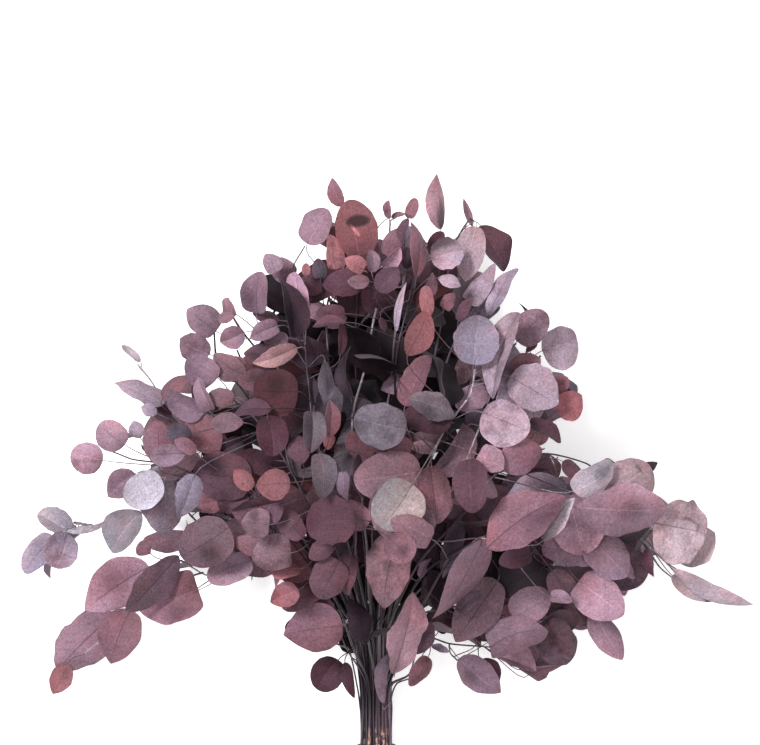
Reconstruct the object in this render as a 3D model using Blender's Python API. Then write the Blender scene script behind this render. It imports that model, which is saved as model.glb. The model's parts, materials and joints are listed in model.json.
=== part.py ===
"""Bunch of preserved eucalyptus lying on a surface.

Forty-three leafy stems, held by a plain rubber band low on their bare part. Each stem with its
twigs, leaf stalks and leaves is one solid. The layout is in millimetres: a place is given as it
is seen from above (x, y), with a height, and `spot` turns it into a position.
"""
import math
import random

import bmesh
import bpy
import numpy as np
from mathutils import Vector
from mathutils.bvhtree import BVHTree
from mathutils.kdtree import KDTree

MM = 0.001

# The eye that looks down on the bunch, for places given as seen
EYE_X = 3.6
EYE_Y = 335.0
EYE_PLANE = 150.0
EYE_DISTANCE = 1615.0

# The tied bundle
STEM_RADIUS = 2.3
TIP_RADIUS = 1.1
TWIG_RADIUS = 1.1
TAPER = 0.6
SLOT_PITCH = 4.72
SLOT_REACH = 3.5
TIE_Y = -28.0
TIE_HEIGHT = 32.0
CUT_Y = -184.0
CUT_STAGGER = 9.0
CUT_SPREAD = 1.2
HOLD_Y = 34.0
NECK_Y = 84.0
NECK_SPREAD = 1.5
NECK_RISE = 1.15
STEM_SIDES = 5
TWIG_SIDES = 4
STEM_CLEARANCE = 0.7

# The band
BAND_WIDTH = 9.0
BAND_THICKNESS = 1.6
BAND_GAP = 0.3
BAND_SIDES = 36

# The foliage's outer form
FOLIAGE_X = 5.0
FOLIAGE_Y = 250.0
FOLIAGE_WIDTHS = [
    (-13, 90), (60, 130), (110, 340), (235, 345), (300, 235), (390, 190), (440, 135), (530, 60),
]
FOLIAGE_REACH = 285.0
FOLIAGE_FULL_Y = 235.0
AXIS_LOW = 34.0
AXIS_RISE = 94.0
FRONT_LOW = 18.0
FRONT_RISE = 140.0
BACK_LOW = 16.0
BACK_RISE = 150.0
FLOOR_CLEARANCE = 1.5

# The leaves
BLADE_THICKNESS = 1.0
STALK_WIDTH = 1.7
STALK_THICKNESS = 1.3
ROOT_WIDTH = 1.0
ROOT_THICKNESS = 0.9
LEAF_CLEARANCE = 0.75
STALK_REACH = 78.0
LOAD_COST = 2.4
DEPTH_SCALE = 1.6
MAX_TURN = math.radians(50)
NARROW = 0.66
SHORT = 1.08
SETTLE_STEP = 3.0
SETTLE_STEPS = 26

# What is tried in turn to place a leaf: its scale, turns of its pitch and roll, and a lift
TRIES = [
    (1, 0, 0, 0), (1, 0, 0, 9), (1, 0.2, 0.2, 0), (1, -0.2, 0.2, 4), (0.95, 0, -0.25, 8),
    (0.9, -0.2, -0.2, 0), (0.82, 0.1, 0, 8), (0.74, 0, 0, 0),
]

# How the pieces of a spray are joined, and how far crowded corners on the seams are merged
SOLVER = "MANIFOLD"
SEAM_MERGES = (0.4, 0.3, 0.2, 0.1, 0.03)

# Stems: name, points on the way from the tie to the tip (x, y, share of the way from the
# back of the foliage to its front), and twigs given the same way
SPRAYS = [
    ("low_left", [(-62, 138, 0.55), (-105, 157, 0.55), (-150, 152, 0.5), (-176, 166, 0.5)],
     [[(-160, 148, 0.5), (-200, 140, 0.46), (-222, 122, 0.45), (-243, 98, 0.4),
       (-262, 82, 0.35)]]),
    ("far_left", [(-72, 165, 0.42), (-135, 205, 0.42), (-200, 212, 0.4), (-240, 197, 0.45),
                  (-272, 200, 0.5)], []),
    ("left_upper_ring", [(-75, 180, 0.62), (-130, 225, 0.6), (-180, 250, 0.6),
                         (-220, 257, 0.5), (-238, 264, 0.5)], []),
    ("left_inner", [(-70, 190, 0.3), (-130, 240, 0.3), (-185, 262, 0.4), (-208, 282, 0.4)], []),
    ("left_pale_stem", [(-60, 190, 0.5), (-110, 250, 0.5), (-160, 280, 0.55),
                        (-186, 302, 0.5), (-204, 330, 0.5), (-215, 343, 0.5)], []),
    ("left_high", [(-50, 190, 0.5), (-90, 270, 0.5), (-120, 320, 0.5), (-143, 345, 0.5),
                   (-146, 375, 0.5)], []),
    ("left_brown", [(-50, 190, 0.78), (-85, 262, 0.8), (-115, 300, 0.8), (-138, 315, 0.75)],
     []),
    ("left_tall", [(-40, 200, 0.35), (-75, 280, 0.35), (-100, 345, 0.4), (-122, 375, 0.5),
                   (-133, 392, 0.5)], []),
    ("grey_stem", [(-42, 190, 0.66), (-78, 250, 0.72), (-85, 300, 0.7), (-90, 350, 0.65),
                   (-98, 385, 0.6), (-102, 405, 0.55)], []),
    ("top_left", [(-30, 200, 0.5), (-60, 300, 0.5), (-78, 370, 0.5), (-84, 415, 0.5)], []),
    ("top_left_long", [(-30, 200, 0.82), (-56, 280, 0.82), (-62, 345, 0.8), (-68, 390, 0.75),
                       (-74, 430, 0.6), (-64, 449, 0.6)], []),
    ("top_twisted", [(-22, 200, 0.6), (-38, 300, 0.6), (-45, 380, 0.65), (-36, 430, 0.6),
                     (-30, 478, 0.6)], []),
    ("top_crown", [(-12, 210, 0.45), (-18, 320, 0.5), (-18, 400, 0.6), (-16, 438, 0.7)], []),
    ("light_stem", [(-12, 220, 0.75), (-21, 290, 0.66), (-9, 345, 0.6), (2, 400, 0.62),
                    (12, 445, 0.6), (13, 472, 0.6)], []),
    ("top_thin", [(-2, 210, 0.6), (12, 320, 0.58), (20, 390, 0.65), (28, 440, 0.6),
                  (29, 470, 0.6)], []),
    ("top_folded", [(8, 210, 0.6), (16, 300, 0.58), (20, 360, 0.68), (34, 415, 0.7),
                    (44, 445, 0.6), (57, 462, 0.6)], []),
    ("top_dark", [(12, 200, 0.35), (35, 300, 0.35), (52, 380, 0.4), (58, 430, 0.4)], []),
    ("top_right", [(20, 200, 0.52), (45, 300, 0.5), (58, 380, 0.5), (70, 450, 0.55),
                   (84, 474, 0.6)], []),
    ("right_greige", [(25, 210, 0.62), (50, 300, 0.55), (70, 360, 0.55), (86, 390, 0.6),
                      (100, 405, 0.6)], []),
    ("right_heart", [(20, 200, 0.74), (46, 250, 0.78), (65, 288, 0.8), (84, 315, 0.8),
                     (89, 338, 0.8)], []),
    ("right_plum", [(30, 190, 0.6), (68, 260, 0.6), (98, 312, 0.65), (110, 343, 0.6),
                    (126, 361, 0.55)], []),
    ("right_outer", [(32, 180, 0.45), (80, 250, 0.45), (120, 320, 0.5), (148, 350, 0.45)], []),
    ("right_pale_heart", [(35, 180, 0.7), (75, 240, 0.75), (96, 292, 0.75), (112, 305, 0.65),
                          (120, 325, 0.65)], []),
    ("right_red", [(35, 170, 0.35), (95, 230, 0.4), (140, 280, 0.4), (165, 303, 0.4)], []),
    ("right_arch", [(40, 165, 0.7), (85, 215, 0.75), (110, 245, 0.75), (150, 262, 0.6),
                    (190, 253, 0.55), (205, 240, 0.55)], []),
    ("right_rose", [(45, 155, 0.6), (100, 190, 0.7), (150, 218, 0.7), (182, 216, 0.7),
                    (205, 222, 0.5)], []),
    ("far_right", [(48, 148, 0.45), (110, 185, 0.5), (170, 200, 0.5), (225, 195, 0.5),
                   (250, 199, 0.5)], []),
    ("far_right_pleated", [(50, 140, 0.3), (120, 165, 0.35), (190, 190, 0.35),
                           (235, 186, 0.45), (262, 163, 0.45), (285, 150, 0.45)],
     [[(240, 182, 0.45), (255, 160, 0.4), (270, 148, 0.4)]]),
    ("low_right_rose", [(45, 125, 0.5), (95, 145, 0.5), (150, 158, 0.45), (185, 148, 0.45),
                        (200, 130, 0.4)], []),
    ("low_right_folded", [(42, 118, 0.62), (85, 125, 0.66), (118, 115, 0.66),
                          (150, 112, 0.6)], []),
    ("low_right_wiry", [(45, 97, 0.6), (66, 91, 0.66), (102, 88, 0.66)],
     [[(66, 91, 0.66), (67, 82, 0.62), (73, 76, 0.6)]]),
    ("front_right", [(17, 84, 0.6), (38, 120, 0.72), (70, 170, 0.82), (94, 186, 0.92)], []),
    ("front_small", [(26, 68, 0.46), (35, 82, 0.54), (47, 94, 0.56)], []),
    ("front_centre", [(3, 100, 0.62), (6, 150, 0.78), (14, 196, 0.84), (30, 235, 0.8),
                      (36, 262, 0.75)], []),
    ("front_left", [(-20, 86, 0.62), (-30, 115, 0.68), (-45, 150, 0.7), (-70, 190, 0.75),
                    (-95, 200, 0.8), (-110, 225, 0.75)], []),
    ("front_slate", [(-8, 100, 0.66), (-20, 150, 0.78), (-20, 200, 0.85), (-45, 240, 0.85),
                     (-52, 264, 0.85)], []),
    ("front_low_left", [(-30, 120, 0.6), (-55, 165, 0.7), (-80, 190, 0.7), (-100, 180, 0.7),
                        (-112, 168, 0.6)], []),
    ("under_left", [(-50, 120, 0.12), (-110, 170, 0.08), (-160, 200, 0.1), (-190, 235, 0.2)],
     []),
    ("under_upper_left", [(-30, 150, 0.08), (-75, 240, 0.06), (-110, 320, 0.08),
                          (-125, 355, 0.2)], []),
    ("under_middle", [(-5, 160, 0.06), (-15, 270, 0.05), (-30, 370, 0.08), (-35, 440, 0.25)],
     []),
    ("under_top", [(15, 150, 0.1), (40, 260, 0.06), (55, 360, 0.08), (60, 430, 0.2)], []),
    ("under_upper_right", [(40, 130, 0.1), (90, 210, 0.06), (125, 290, 0.08),
                           (140, 340, 0.2)], []),
    ("under_right", [(50, 110, 0.15), (120, 150, 0.08), (185, 185, 0.12), (225, 215, 0.25)],
     []),
]

# Leaves that lie flat under the bunch and carry it: base x, y, tip x, y and width
RESTING_LEAVES = [
    ("plum", 2, 214, -4, 262, 40),
    ("plum", -84, 214, -112, 248, 38),
    ("slate", 92, 196, 126, 232, 38),
    ("plum", -18, 318, -22, 362, 36),
    ("maroon", -134, 182, -168, 206, 34),
    ("maroon", 150, 166, 190, 176, 34),
    ("slate", 64, 330, 84, 370, 34),
    ("plum", -84, 300, -112, 330, 34),
]

# Leaves as seen: tone, base x, y, tip x, y, width, depth below the front
LEAVES = [
    # Low left spray
    ("slate", -178, 169, -222, 122, 30, 0),
    ("rose", -160, 139, -212, 122, 44, 6),
    ("rose", -221, 121, -238, 75, 38, 8),
    ("dusty", -205, 160, -259, 123, 42, 14),
    ("dusty", -235, 118, -285, 68, 42, 20),
    ("salmon", -278, 72, -290, 47, 20, 6),
    # Far left spray
    ("lilac", -280, 190, -290, 160, 30, 0),
    ("pale", -275, 193, -303, 209, 20, 4),
    ("lilac", -213, 210, -238, 174, 32, 4),
    ("lilac", -290, 187, -316, 157, 24, 8),
    ("lilac", -277, 192, -242, 196, 8, 3),
    # Left ring of round leaves
    ("pale", -193, 240, -226, 220, 32, 0),
    ("mauve", -190, 238, -191, 190, 38, 6),
    ("lilac", -246, 256, -274, 262, 28, 6),
    ("lilac", -226, 270, -249, 288, 27, 6),
    ("dusty", -217, 244, -240, 224, 26, 14),
    ("mauve", -163, 243, -176, 205, 22, 2),
    ("red", -203, 172, -213, 182, 14, 16),
    ("mauve", -172, 188, -208, 184, 20, 22),
    ("mauve", -132, 196, -174, 170, 44, 4),
    ("rose", -112, 165, -150, 150, 26, 10),
    ("dusty", -172, 262, -202, 260, 20, 4),
    ("lilac", -212, 276, -218, 291, 14, 10),
    ("rose", -196, 252, -198, 290, 24, 12),
    ("slate", -166, 280, -188, 278, 18, 6),
    ("rose", -163, 262, -180, 275, 12, 2),
    ("mauve", -160, 262, -195, 238, 18, 10),
    # Sprig above the left ring
    ("lilac", -190, 308, -234, 330, 17, 4),
    ("pale", -212, 345, -227, 360, 9, 4),
    ("lilac", -197, 298, -211, 304, 12, 12),
    ("brown", -192, 312, -170, 333, 15, 8),
    ("mauve", -155, 298, -188, 316, 22, 4),
    ("mauve", -150, 300, -163, 327, 15, 2),
    ("brown", -142, 262, -168, 292, 30, 8),
    ("dark", -120, 273, -142, 262, 17, 8),
    # Upper left
    ("mauve", -119, 290, -148, 291, 18, 0),
    ("rose", -128, 312, -151, 314, 18, 4),
    ("plum", -94, 303, -129, 300, 15, 2),
    ("brown", -95, 330, -131, 325, 26, 5),
    ("dusty", -117, 332, -145, 350, 24, 9),
    ("brown", -117, 346, -140, 336, 18, 14),
    ("mauve", -143, 330, -169, 347, 28, 4),
    ("dusty", -144, 372, -170, 392, 28, 6),
    ("dusty", -150, 352, -177, 366, 25, 10),
    ("dusty", -128, 388, -143, 391, 24, 8),
    ("dusty", -119, 371, -140, 362, 21, 6),
    ("lilac", -108, 388, -104, 424, 25, 4),
    ("lilac", -90, 425, -99, 441, 17, 8),
    ("rose", -83, 416, -85, 438, 22, 8),
    ("dusty", -88, 377, -112, 366, 17, 0),
    ("plum", -87, 382, -110, 388, 12, 4),
    ("plum", -80, 362, -101, 370, 18, 4),
    ("dark", -41, 350, -80, 362, 28, 6),
    ("salmon", -71, 357, -109, 342, 16, 0),
    ("plum", -90, 351, -118, 352, 18, 10),
    ("maroon", -70, 318, -109, 320, 42, 2),
    # Slate and rose leaves left of the opening
    ("grey", -56, 300, -58, 264, 20, 0),
    ("grey", -51, 262, -50, 223, 22, 0),
    ("grey", -46, 346, -43, 307, 13, 2),
    ("rose", -42, 278, -40, 310, 14, 0),
    ("salmon", -40, 279, -44, 266, 10, 2),
    ("plum", -98, 296, -93, 261, 28, 0),
    ("brown", -66, 253, -70, 277, 20, 6),
    ("dark", -70, 300, -60, 332, 26, 18),
    # Lower left of the foliage
    ("plum", -112, 238, -164, 246, 44, 3),
    ("rose", -138, 222, -161, 216, 22, 10),
    ("salmon", -112, 230, -127, 247, 16, 0),
    ("plum", -114, 222, -142, 216, 20, 8),
    ("mauve", -96, 198, -120, 200, 26, 0),
    ("plum", -84, 216, -128, 207, 26, 4),
    ("mauve", -90, 190, -119, 183, 22, 5),
    ("rose", -77, 236, -107, 233, 28, 0),
    ("maroon", -95, 250, -124, 262, 22, 6),
    ("rose", -106, 172, -127, 184, 18, 4),
    ("mauve", -76, 173, -111, 168, 32, 2),
    ("red", -70, 139, -94, 129, 22, 2),
    ("red", -68, 158, -92, 153, 11, 6),
    ("plum", -33, 166, -52, 134, 32, 0),
    ("plum", -22, 172, -30, 136, 17, 3),
    ("plum", -19, 202, -62, 198, 42, 0),
    ("rose", -7, 198, -45, 222, 32, 8),
    ("brown", -40, 182, -59, 168, 18, 10),
    ("plum", -66, 186, -88, 212, 22, 16),
    # Centre
    ("greige", 48, 186, 0, 226, 47, 0),
    ("mauve", 41, 246, -18, 238, 45, 8),
    ("rose", 22, 195, 6, 126, 38, 4),
    ("brown", 50, 251, 57, 200, 30, 2),
    ("slate", 27, 283, -18, 294, 40, 3),
    ("brown", 33, 270, -6, 270, 20, 8),
    ("maroon", 68, 290, 22, 298, 28, 4),
    ("brown", 55, 266, 23, 269, 15, 8),
    ("greige", 30, 312, 71, 298, 24, 0),
    ("rose", 26, 305, 46, 350, 21, 0),
    ("slate", 23, 332, 6, 319, 17, 3),
    ("salmon", 28, 350, 47, 388, 25, 0),
    ("salmon", 48, 384, 45, 412, 13, 1),
    ("lilac", 18, 372, 28, 414, 6, 0),
    ("maroon", 4, 384, 9, 372, 7, 10),
    ("dark", -22, 310, -28, 357, 10, 10),
    ("maroon", -32, 350, -33, 387, 7, 4),
    ("maroon", -2, 402, 19, 396, 18, 8),
    # Top
    ("rose", -15, 440, -25, 497, 44, 0),
    ("dusty", -62, 451, -45, 481, 27, 6),
    ("rose", -30, 485, -41, 509, 13, 5),
    ("salmon", -36, 428, -40, 458, 17, 0),
    ("maroon", -28, 430, -28, 452, 12, 4),
    ("salmon", -11, 428, -27, 437, 15, 0),
    ("mauve", -4, 425, -4, 445, 12, 0),
    ("rose", 10, 440, 19, 463, 17, 8),
    ("rose", 12, 474, 9, 489, 7, 4),
    ("rose", 14, 475, 26, 477, 6, 4),
    ("rose", 29, 474, 36, 493, 12, 2),
    ("plum", 28, 474, 22, 452, 9, 4),
    ("dusty", 58, 464, 50, 511, 18, 2),
    ("rose", 36, 420, 37, 470, 14, 2),
    ("maroon", 47, 442, 59, 461, 14, 10),
    ("dark", 28, 428, 28, 447, 14, 14),
    ("dark", -70, 367, -75, 416, 21, 0),
    ("salmon", -64, 385, -72, 424, 20, 5),
    ("maroon", -58, 404, -58, 425, 20, 8),
    ("slate", -50, 420, -52, 437, 13, 6),
    ("salmon", -63, 422, -63, 433, 8, 3),
    ("plum", -12, 414, -47, 414, 24, 4),
    ("mauve", -6, 417, -25, 417, 13, 0),
    ("plum", -28, 388, -62, 388, 24, 3),
    ("plum", -27, 380, -56, 377, 9, 1),
    ("plum", 1, 409, 19, 429, 21, 4),
    ("salmon", 5, 430, 21, 447, 11, 1),
    # Top right
    ("lilac", 50, 437, 78, 445, 28, 0),
    ("lilac", 90, 466, 80, 414, 28, 2),
    ("plum", 94, 467, 118, 429, 25, 4),
    ("mauve", 87, 466, 81, 491, 6, 4),
    ("lilac", 56, 420, 76, 414, 12, 4),
    ("lilac", 82, 400, 107, 431, 17, 4),
    ("lilac", 100, 385, 123, 430, 15, 2),
    ("brown", 74, 382, 83, 403, 10, 2),
    ("rose", 62, 392, 71, 406, 12, 6),
    ("rose", 40, 398, 54, 423, 11, 2),
    # Right
    ("lilac", 88, 342, 93, 385, 40, 0),
    ("pale", 96, 299, 136, 282, 41, 0),
    ("lilac", 102, 312, 122, 388, 22, 2),
    ("mauve", 127, 363, 151, 389, 30, 4),
    ("lilac", 150, 355, 182, 365, 38, 6),
    ("lilac", 121, 331, 162, 307, 42, 5),
    ("brown", 120, 335, 147, 347, 26, 12),
    ("red", 157, 319, 173, 331, 15, 12),
    ("red", 162, 300, 186, 314, 27, 8),
    ("maroon", 138, 288, 168, 276, 13, 6),
    ("plum", 81, 297, 104, 281, 27, 6),
    ("mauve", 100, 319, 70, 303, 26, 6),
    ("maroon", 122, 271, 96, 277, 15, 9),
    ("slate", 83, 287, 60, 240, 25, 2),
    ("dark", 94, 286, 74, 258, 22, 6),
    ("dusty", 92, 261, 114, 249, 23, 3),
    ("brown", 84, 257, 88, 210, 31, 1),
    ("rose", 150, 266, 113, 252, 33, 5),
    ("mauve", 168, 255, 184, 238, 14, 9),
    ("rose", 100, 178, 168, 222, 40, 0),
    ("lilac", 172, 230, 110, 212, 33, 4),
    ("pale", 150, 184, 175, 223, 13, 2),
    ("dusty", 182, 214, 260, 211, 47, 0),
    ("mauve", 172, 224, 186, 173, 49, 3),
    ("mauve", 195, 184, 236, 141, 49, 4),
    ("dusty", 205, 221, 247, 249, 44, 8),
    ("pale", 178, 228, 212, 251, 26, 5),
    ("maroon", 243, 176, 246, 152, 7, 7),
    ("plum", 150, 179, 193, 167, 26, 12),
    # Far right
    ("pale", 250, 200, 297, 190, 57, 2),
    ("pale", 266, 159, 337, 120, 16, 4),
    ("dark", 279, 146, 310, 128, 18, 8),
    ("pale", 267, 152, 292, 127, 9, 6),
    ("dusty", 268, 170, 304, 190, 40, 12),
    # Low right
    ("brown", 97, 188, 57, 112, 41, 0),
    ("plum", 110, 147, 72, 94, 41, 6),
    ("slate", 74, 120, 93, 136, 11, 3),
    ("red", 183, 147, 221, 118, 38, 6),
    ("rose", 196, 126, 222, 80, 23, 9),
    ("maroon", 181, 136, 196, 104, 16, 12),
    ("plum", 158, 157, 180, 128, 24, 8),
    ("dusty", 157, 133, 176, 130, 12, 2),
    ("mauve", 122, 116, 155, 136, 31, 2),
    ("mauve", 102, 88, 152, 104, 29, 0),
    ("salmon", 107, 83, 143, 68, 17, 5),
    ("plum", 152, 111, 171, 71, 35, 4),
    ("brown", 133, 67, 168, 72, 10, 8),
    ("dark", 151, 160, 112, 138, 46, 14),
    ("maroon", 140, 172, 112, 164, 20, 12),
    ("mauve", 75, 77, 110, 48, 27, 2),
    ("maroon", 94, 76, 112, 52, 13, 4),
    ("lilac", 50, 89, 65, 83, 6, 20),
    # Round the lower stems
    ("rose", -30, 108, -81, 100, 45, 0),
    ("plum", -34, 76, -52, 50, 29, 3),
    ("plum", -28, 74, -22, 43, 10, 2),
    ("rose", 17, 63, 34, 134, 31, 0),
    ("plum", 31, 79, 49, 109, 17, 4),
    ("brown", 47, 79, 31, 54, 14, 4),
    ("slate", 6, 36, 7, 80, 11, 4),
    ("dark", -12, 93, -20, 131, 20, 8),
    ("mauve", 39, 150, 46, 168, 7, 2),
    ("dark", 75, 205, 60, 155, 19, 6),
    ("dark", 60, 200, 48, 160, 18, 9),
    ("slate", 79, 166, 58, 154, 9, 3),
    ("slate", -30, 246, -29, 221, 13, 4),
    ("dark", -16, 262, -15, 222, 10, 8),
]

# Outline of the dense part of the foliage as seen, which leaves of the inside fill
OUTLINE = [
    (-25, 45), (-32, 105), (-62, 130), (-93, 128), (-95, 158), (-112, 152), (-150, 146),
    (-170, 172), (-128, 205), (-160, 215), (-175, 212), (-200, 195), (-200, 230), (-175, 240),
    (-190, 258), (-205, 285), (-185, 300), (-150, 292), (-128, 322), (-118, 345), (-112, 362),
    (-100, 380), (-105, 420), (-85, 425), (-75, 405), (-62, 430), (-45, 445), (-30, 440),
    (-10, 450), (5, 445), (25, 462), (45, 462), (60, 445), (75, 440), (80, 415), (100, 420),
    (105, 385), (120, 345), (150, 340), (158, 315), (140, 290), (148, 272), (170, 250),
    (205, 250), (255, 222), (290, 215), (300, 190), (268, 165), (246, 180), (245, 150),
    (225, 140), (222, 118), (195, 105), (178, 105), (170, 75), (140, 66), (110, 75),
    (103, 95), (122, 112), (108, 125), (98, 105), (75, 95), (60, 105), (45, 105), (38, 80),
    (20, 60), (15, 40),
]

# Leaves of the inside, back and underside
FILLER_SPACING = 15.0
FILLER_LIMIT = 138
GAP_SHARE = 0.28
FILLER_LENGTHS = (38.0, 58.0)
INNER_TONES = ("dark", "maroon", "dark", "slate")
OUTER_TONES = ("plum", "maroon", "slate", "mauve", "brown", "rose")

# Size of a cell of the view, in which covered places are counted
CELL = 4.0

TONES = {
    "plum": (0.12, 0.068, 0.086), "rose": (0.235, 0.128, 0.158), "salmon": (0.27, 0.125, 0.135),
    "red": (0.29, 0.12, 0.14), "mauve": (0.24, 0.155, 0.195), "dusty": (0.3, 0.185, 0.235),
    "lilac": (0.37, 0.285, 0.355), "pale": (0.46, 0.38, 0.43), "greige": (0.25, 0.19, 0.205),
    "slate": (0.12, 0.085, 0.107), "grey": (0.14, 0.11, 0.135), "maroon": (0.09, 0.047, 0.06),
    "brown": (0.165, 0.09, 0.105), "dark": (0.045, 0.03, 0.038),
}
BAND_COLOUR = (0.33, 0.25, 0.17)


def smooth(share):
    """Ease from 0 to 1."""
    share = min(1.0, max(0.0, share))
    return share * share * (3 - 2 * share)


def between(table, value):
    """The number that a table of (value, number) pairs gives in between its rows."""
    for (low, first), (high, last) in zip(table, table[1:]):
        if value < high:
            share = max(0.0, value - low) / (high - low)
            return first + (last - first) * share
    return table[-1][1]


def spot(x, y, z):
    """Position of a place that is seen from the eye at (x, y), at height z."""
    shrink = 1 - (z - EYE_PLANE) / EYE_DISTANCE
    return Vector((EYE_X + (x - EYE_X) * shrink, EYE_Y + (y - EYE_Y) * shrink, z))


def seen(point):
    """The place (x, y) at which the eye sees a position."""
    shrink = 1 - (point[2] - EYE_PLANE) / EYE_DISTANCE
    return (EYE_X + (point[0] - EYE_X) / shrink, EYE_Y + (point[1] - EYE_Y) / shrink)


def away(point):
    """Direction from the eye through a position."""
    eye = Vector((EYE_X, EYE_Y, EYE_PLANE + EYE_DISTANCE))
    return (Vector(point) - eye).normalized()


def heights(x, y):
    """Heights of the foliage's back and front at a place."""
    rise = smooth((y - TIE_Y) / (FOLIAGE_FULL_Y - TIE_Y))
    across = ((x - FOLIAGE_X) / between(FOLIAGE_WIDTHS, y)) ** 2
    along = (max(0.0, y - FOLIAGE_Y) / FOLIAGE_REACH) ** 2
    swell = math.sqrt(max(0.0, 1 - across - along))
    axis = AXIS_LOW + AXIS_RISE * rise
    front = axis + (FRONT_LOW + FRONT_RISE * rise) * swell
    back = max(FLOOR_CLEARANCE, axis - (BACK_LOW + BACK_RISE * rise) * swell)
    return back, front


def place(x, y, share):
    """Position at a share of the way from the foliage's back to its front."""
    back, front = heights(x, y)
    return spot(x, y, back + share * (front - back))


def bundle_slots():
    """Honeycomb places of the stems in the tied bundle, as (x, z) from its centre."""
    slots = []
    for row in range(-4, 5):
        for column in range(-6, 7):
            x = SLOT_PITCH * (column + row / 2)
            z = SLOT_PITCH * row * math.sqrt(3) / 2
            if math.hypot(x, z) < SLOT_PITCH * SLOT_REACH:
                slots.append((x, z))
    return slots


def match_slots(slots):
    """Give each spray the slot that keeps the fan of stems from crossing."""
    slopes = []
    for _, route, _ in SPRAYS:
        first = place(*route[0])
        run = first.y - HOLD_Y
        slopes.append((first.x / run, (first.z - TIE_HEIGHT) / run))
    order = sorted(range(len(SPRAYS)), key=lambda index: (slopes[index][1], slopes[index][0]))
    chosen = [None] * len(SPRAYS)
    for slot, index in zip(sorted(slots, key=lambda item: (item[1], item[0])), order):
        chosen[index] = slot
    changed = True
    while changed:
        changed = False
        for one in range(len(chosen)):
            for two in range(one + 1, len(chosen)):
                gap_x = chosen[one][0] - chosen[two][0]
                gap_z = chosen[one][1] - chosen[two][1]
                turn_x = slopes[one][0] - slopes[two][0]
                turn_z = slopes[one][1] - slopes[two][1]
                if gap_x * turn_x + gap_z * turn_z < -1e-6:
                    chosen[one], chosen[two] = chosen[two], chosen[one]
                    changed = True
    return chosen


def neck(x, z, first):
    """Where a stem from a slot of the bundle passes the neck, on its way to its first point."""
    height = TIE_HEIGHT + z
    share = (NECK_Y - HOLD_Y) / (first.y - HOLD_Y)
    return Vector((x * NECK_SPREAD, NECK_Y,
                   height + (first.z - height) * share * 0.6 + z * (NECK_RISE - 1)))


def stem_lines():
    """All stems and twigs as lines: owner, points, radii, number of fixed points, parent."""
    draw = random.Random(11)
    slots = bundle_slots()
    chosen = match_slots(slots)
    lowest = min(slot[1] for slot in slots)
    cut_height = STEM_RADIUS + 0.02 - lowest * CUT_SPREAD
    lines = []
    for owner, (name, route, twigs) in enumerate(SPRAYS):
        x, z = chosen[owner]
        cut = Vector((x * CUT_SPREAD, CUT_Y + draw.uniform(0, CUT_STAGGER),
                      cut_height + z * CUT_SPREAD))
        points = [cut, Vector((x, TIE_Y - 7, TIE_HEIGHT + z)),
                  Vector((x, HOLD_Y, TIE_HEIGHT + z))]
        if route[0][1] > NECK_Y + 25:
            points.append(neck(x, z, place(*route[0])))
        points += [place(*item) for item in route]
        lines.append(make_line(owner, points, STEM_RADIUS, TIP_RADIUS, 3, None, STEM_SIDES))
    for owner, (name, route, twigs) in enumerate(SPRAYS):
        for twig in twigs:
            points = [place(*item) for item in twig]
            line = make_line(owner, points, TWIG_RADIUS, 0.8, 0, owner, TWIG_SIDES)
            line["points"][0] = nearest_on(lines[owner]["points"], points[0])
            lines.append(line)
    return lines


def make_line(owner, points, first_radius, last_radius, fixed, parent, sides):
    """A stem or twig whose radius falls past its fixed points, soon at first."""
    lengths = [0.0]
    for start, end in zip(points, points[1:]):
        lengths.append(lengths[-1] + (end - start).length)
    start_length = lengths[max(0, fixed - 1)]
    radii = []
    for length in lengths:
        share = max(0.0, length - start_length) / (lengths[-1] - start_length)
        radii.append(first_radius + (last_radius - first_radius) * share ** TAPER)
    return {"owner": owner, "points": points, "radii": radii, "fixed": fixed,
            "parent": parent, "sides": sides}


def nearest_on(points, target):
    """Nearest position to the target on a line of points."""
    best = None
    for start, end in zip(points, points[1:]):
        run = end - start
        share = min(1.0, max(0.0, (target - start).dot(run) / run.length_squared))
        near = start + run * share
        if best is None or (near - target).length < (best - target).length:
            best = near
    return best


def line_samples(lines, step):
    """Samples along the lines: position, radius, line, segment, share of the segment."""
    samples = []
    for number, line in enumerate(lines):
        points = line["points"]
        radii = line["radii"]
        for segment in range(len(points) - 1):
            run = points[segment + 1] - points[segment]
            count = max(1, int(run.length / step))
            for k in range(count):
                share = k / count
                radius = radii[segment] * (1 - share) + radii[segment + 1] * share
                samples.append((points[segment] + run * share, radius, number, segment, share))
        samples.append((points[-1].copy(), radii[-1], number, len(points) - 2, 1.0))
    return samples


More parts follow.
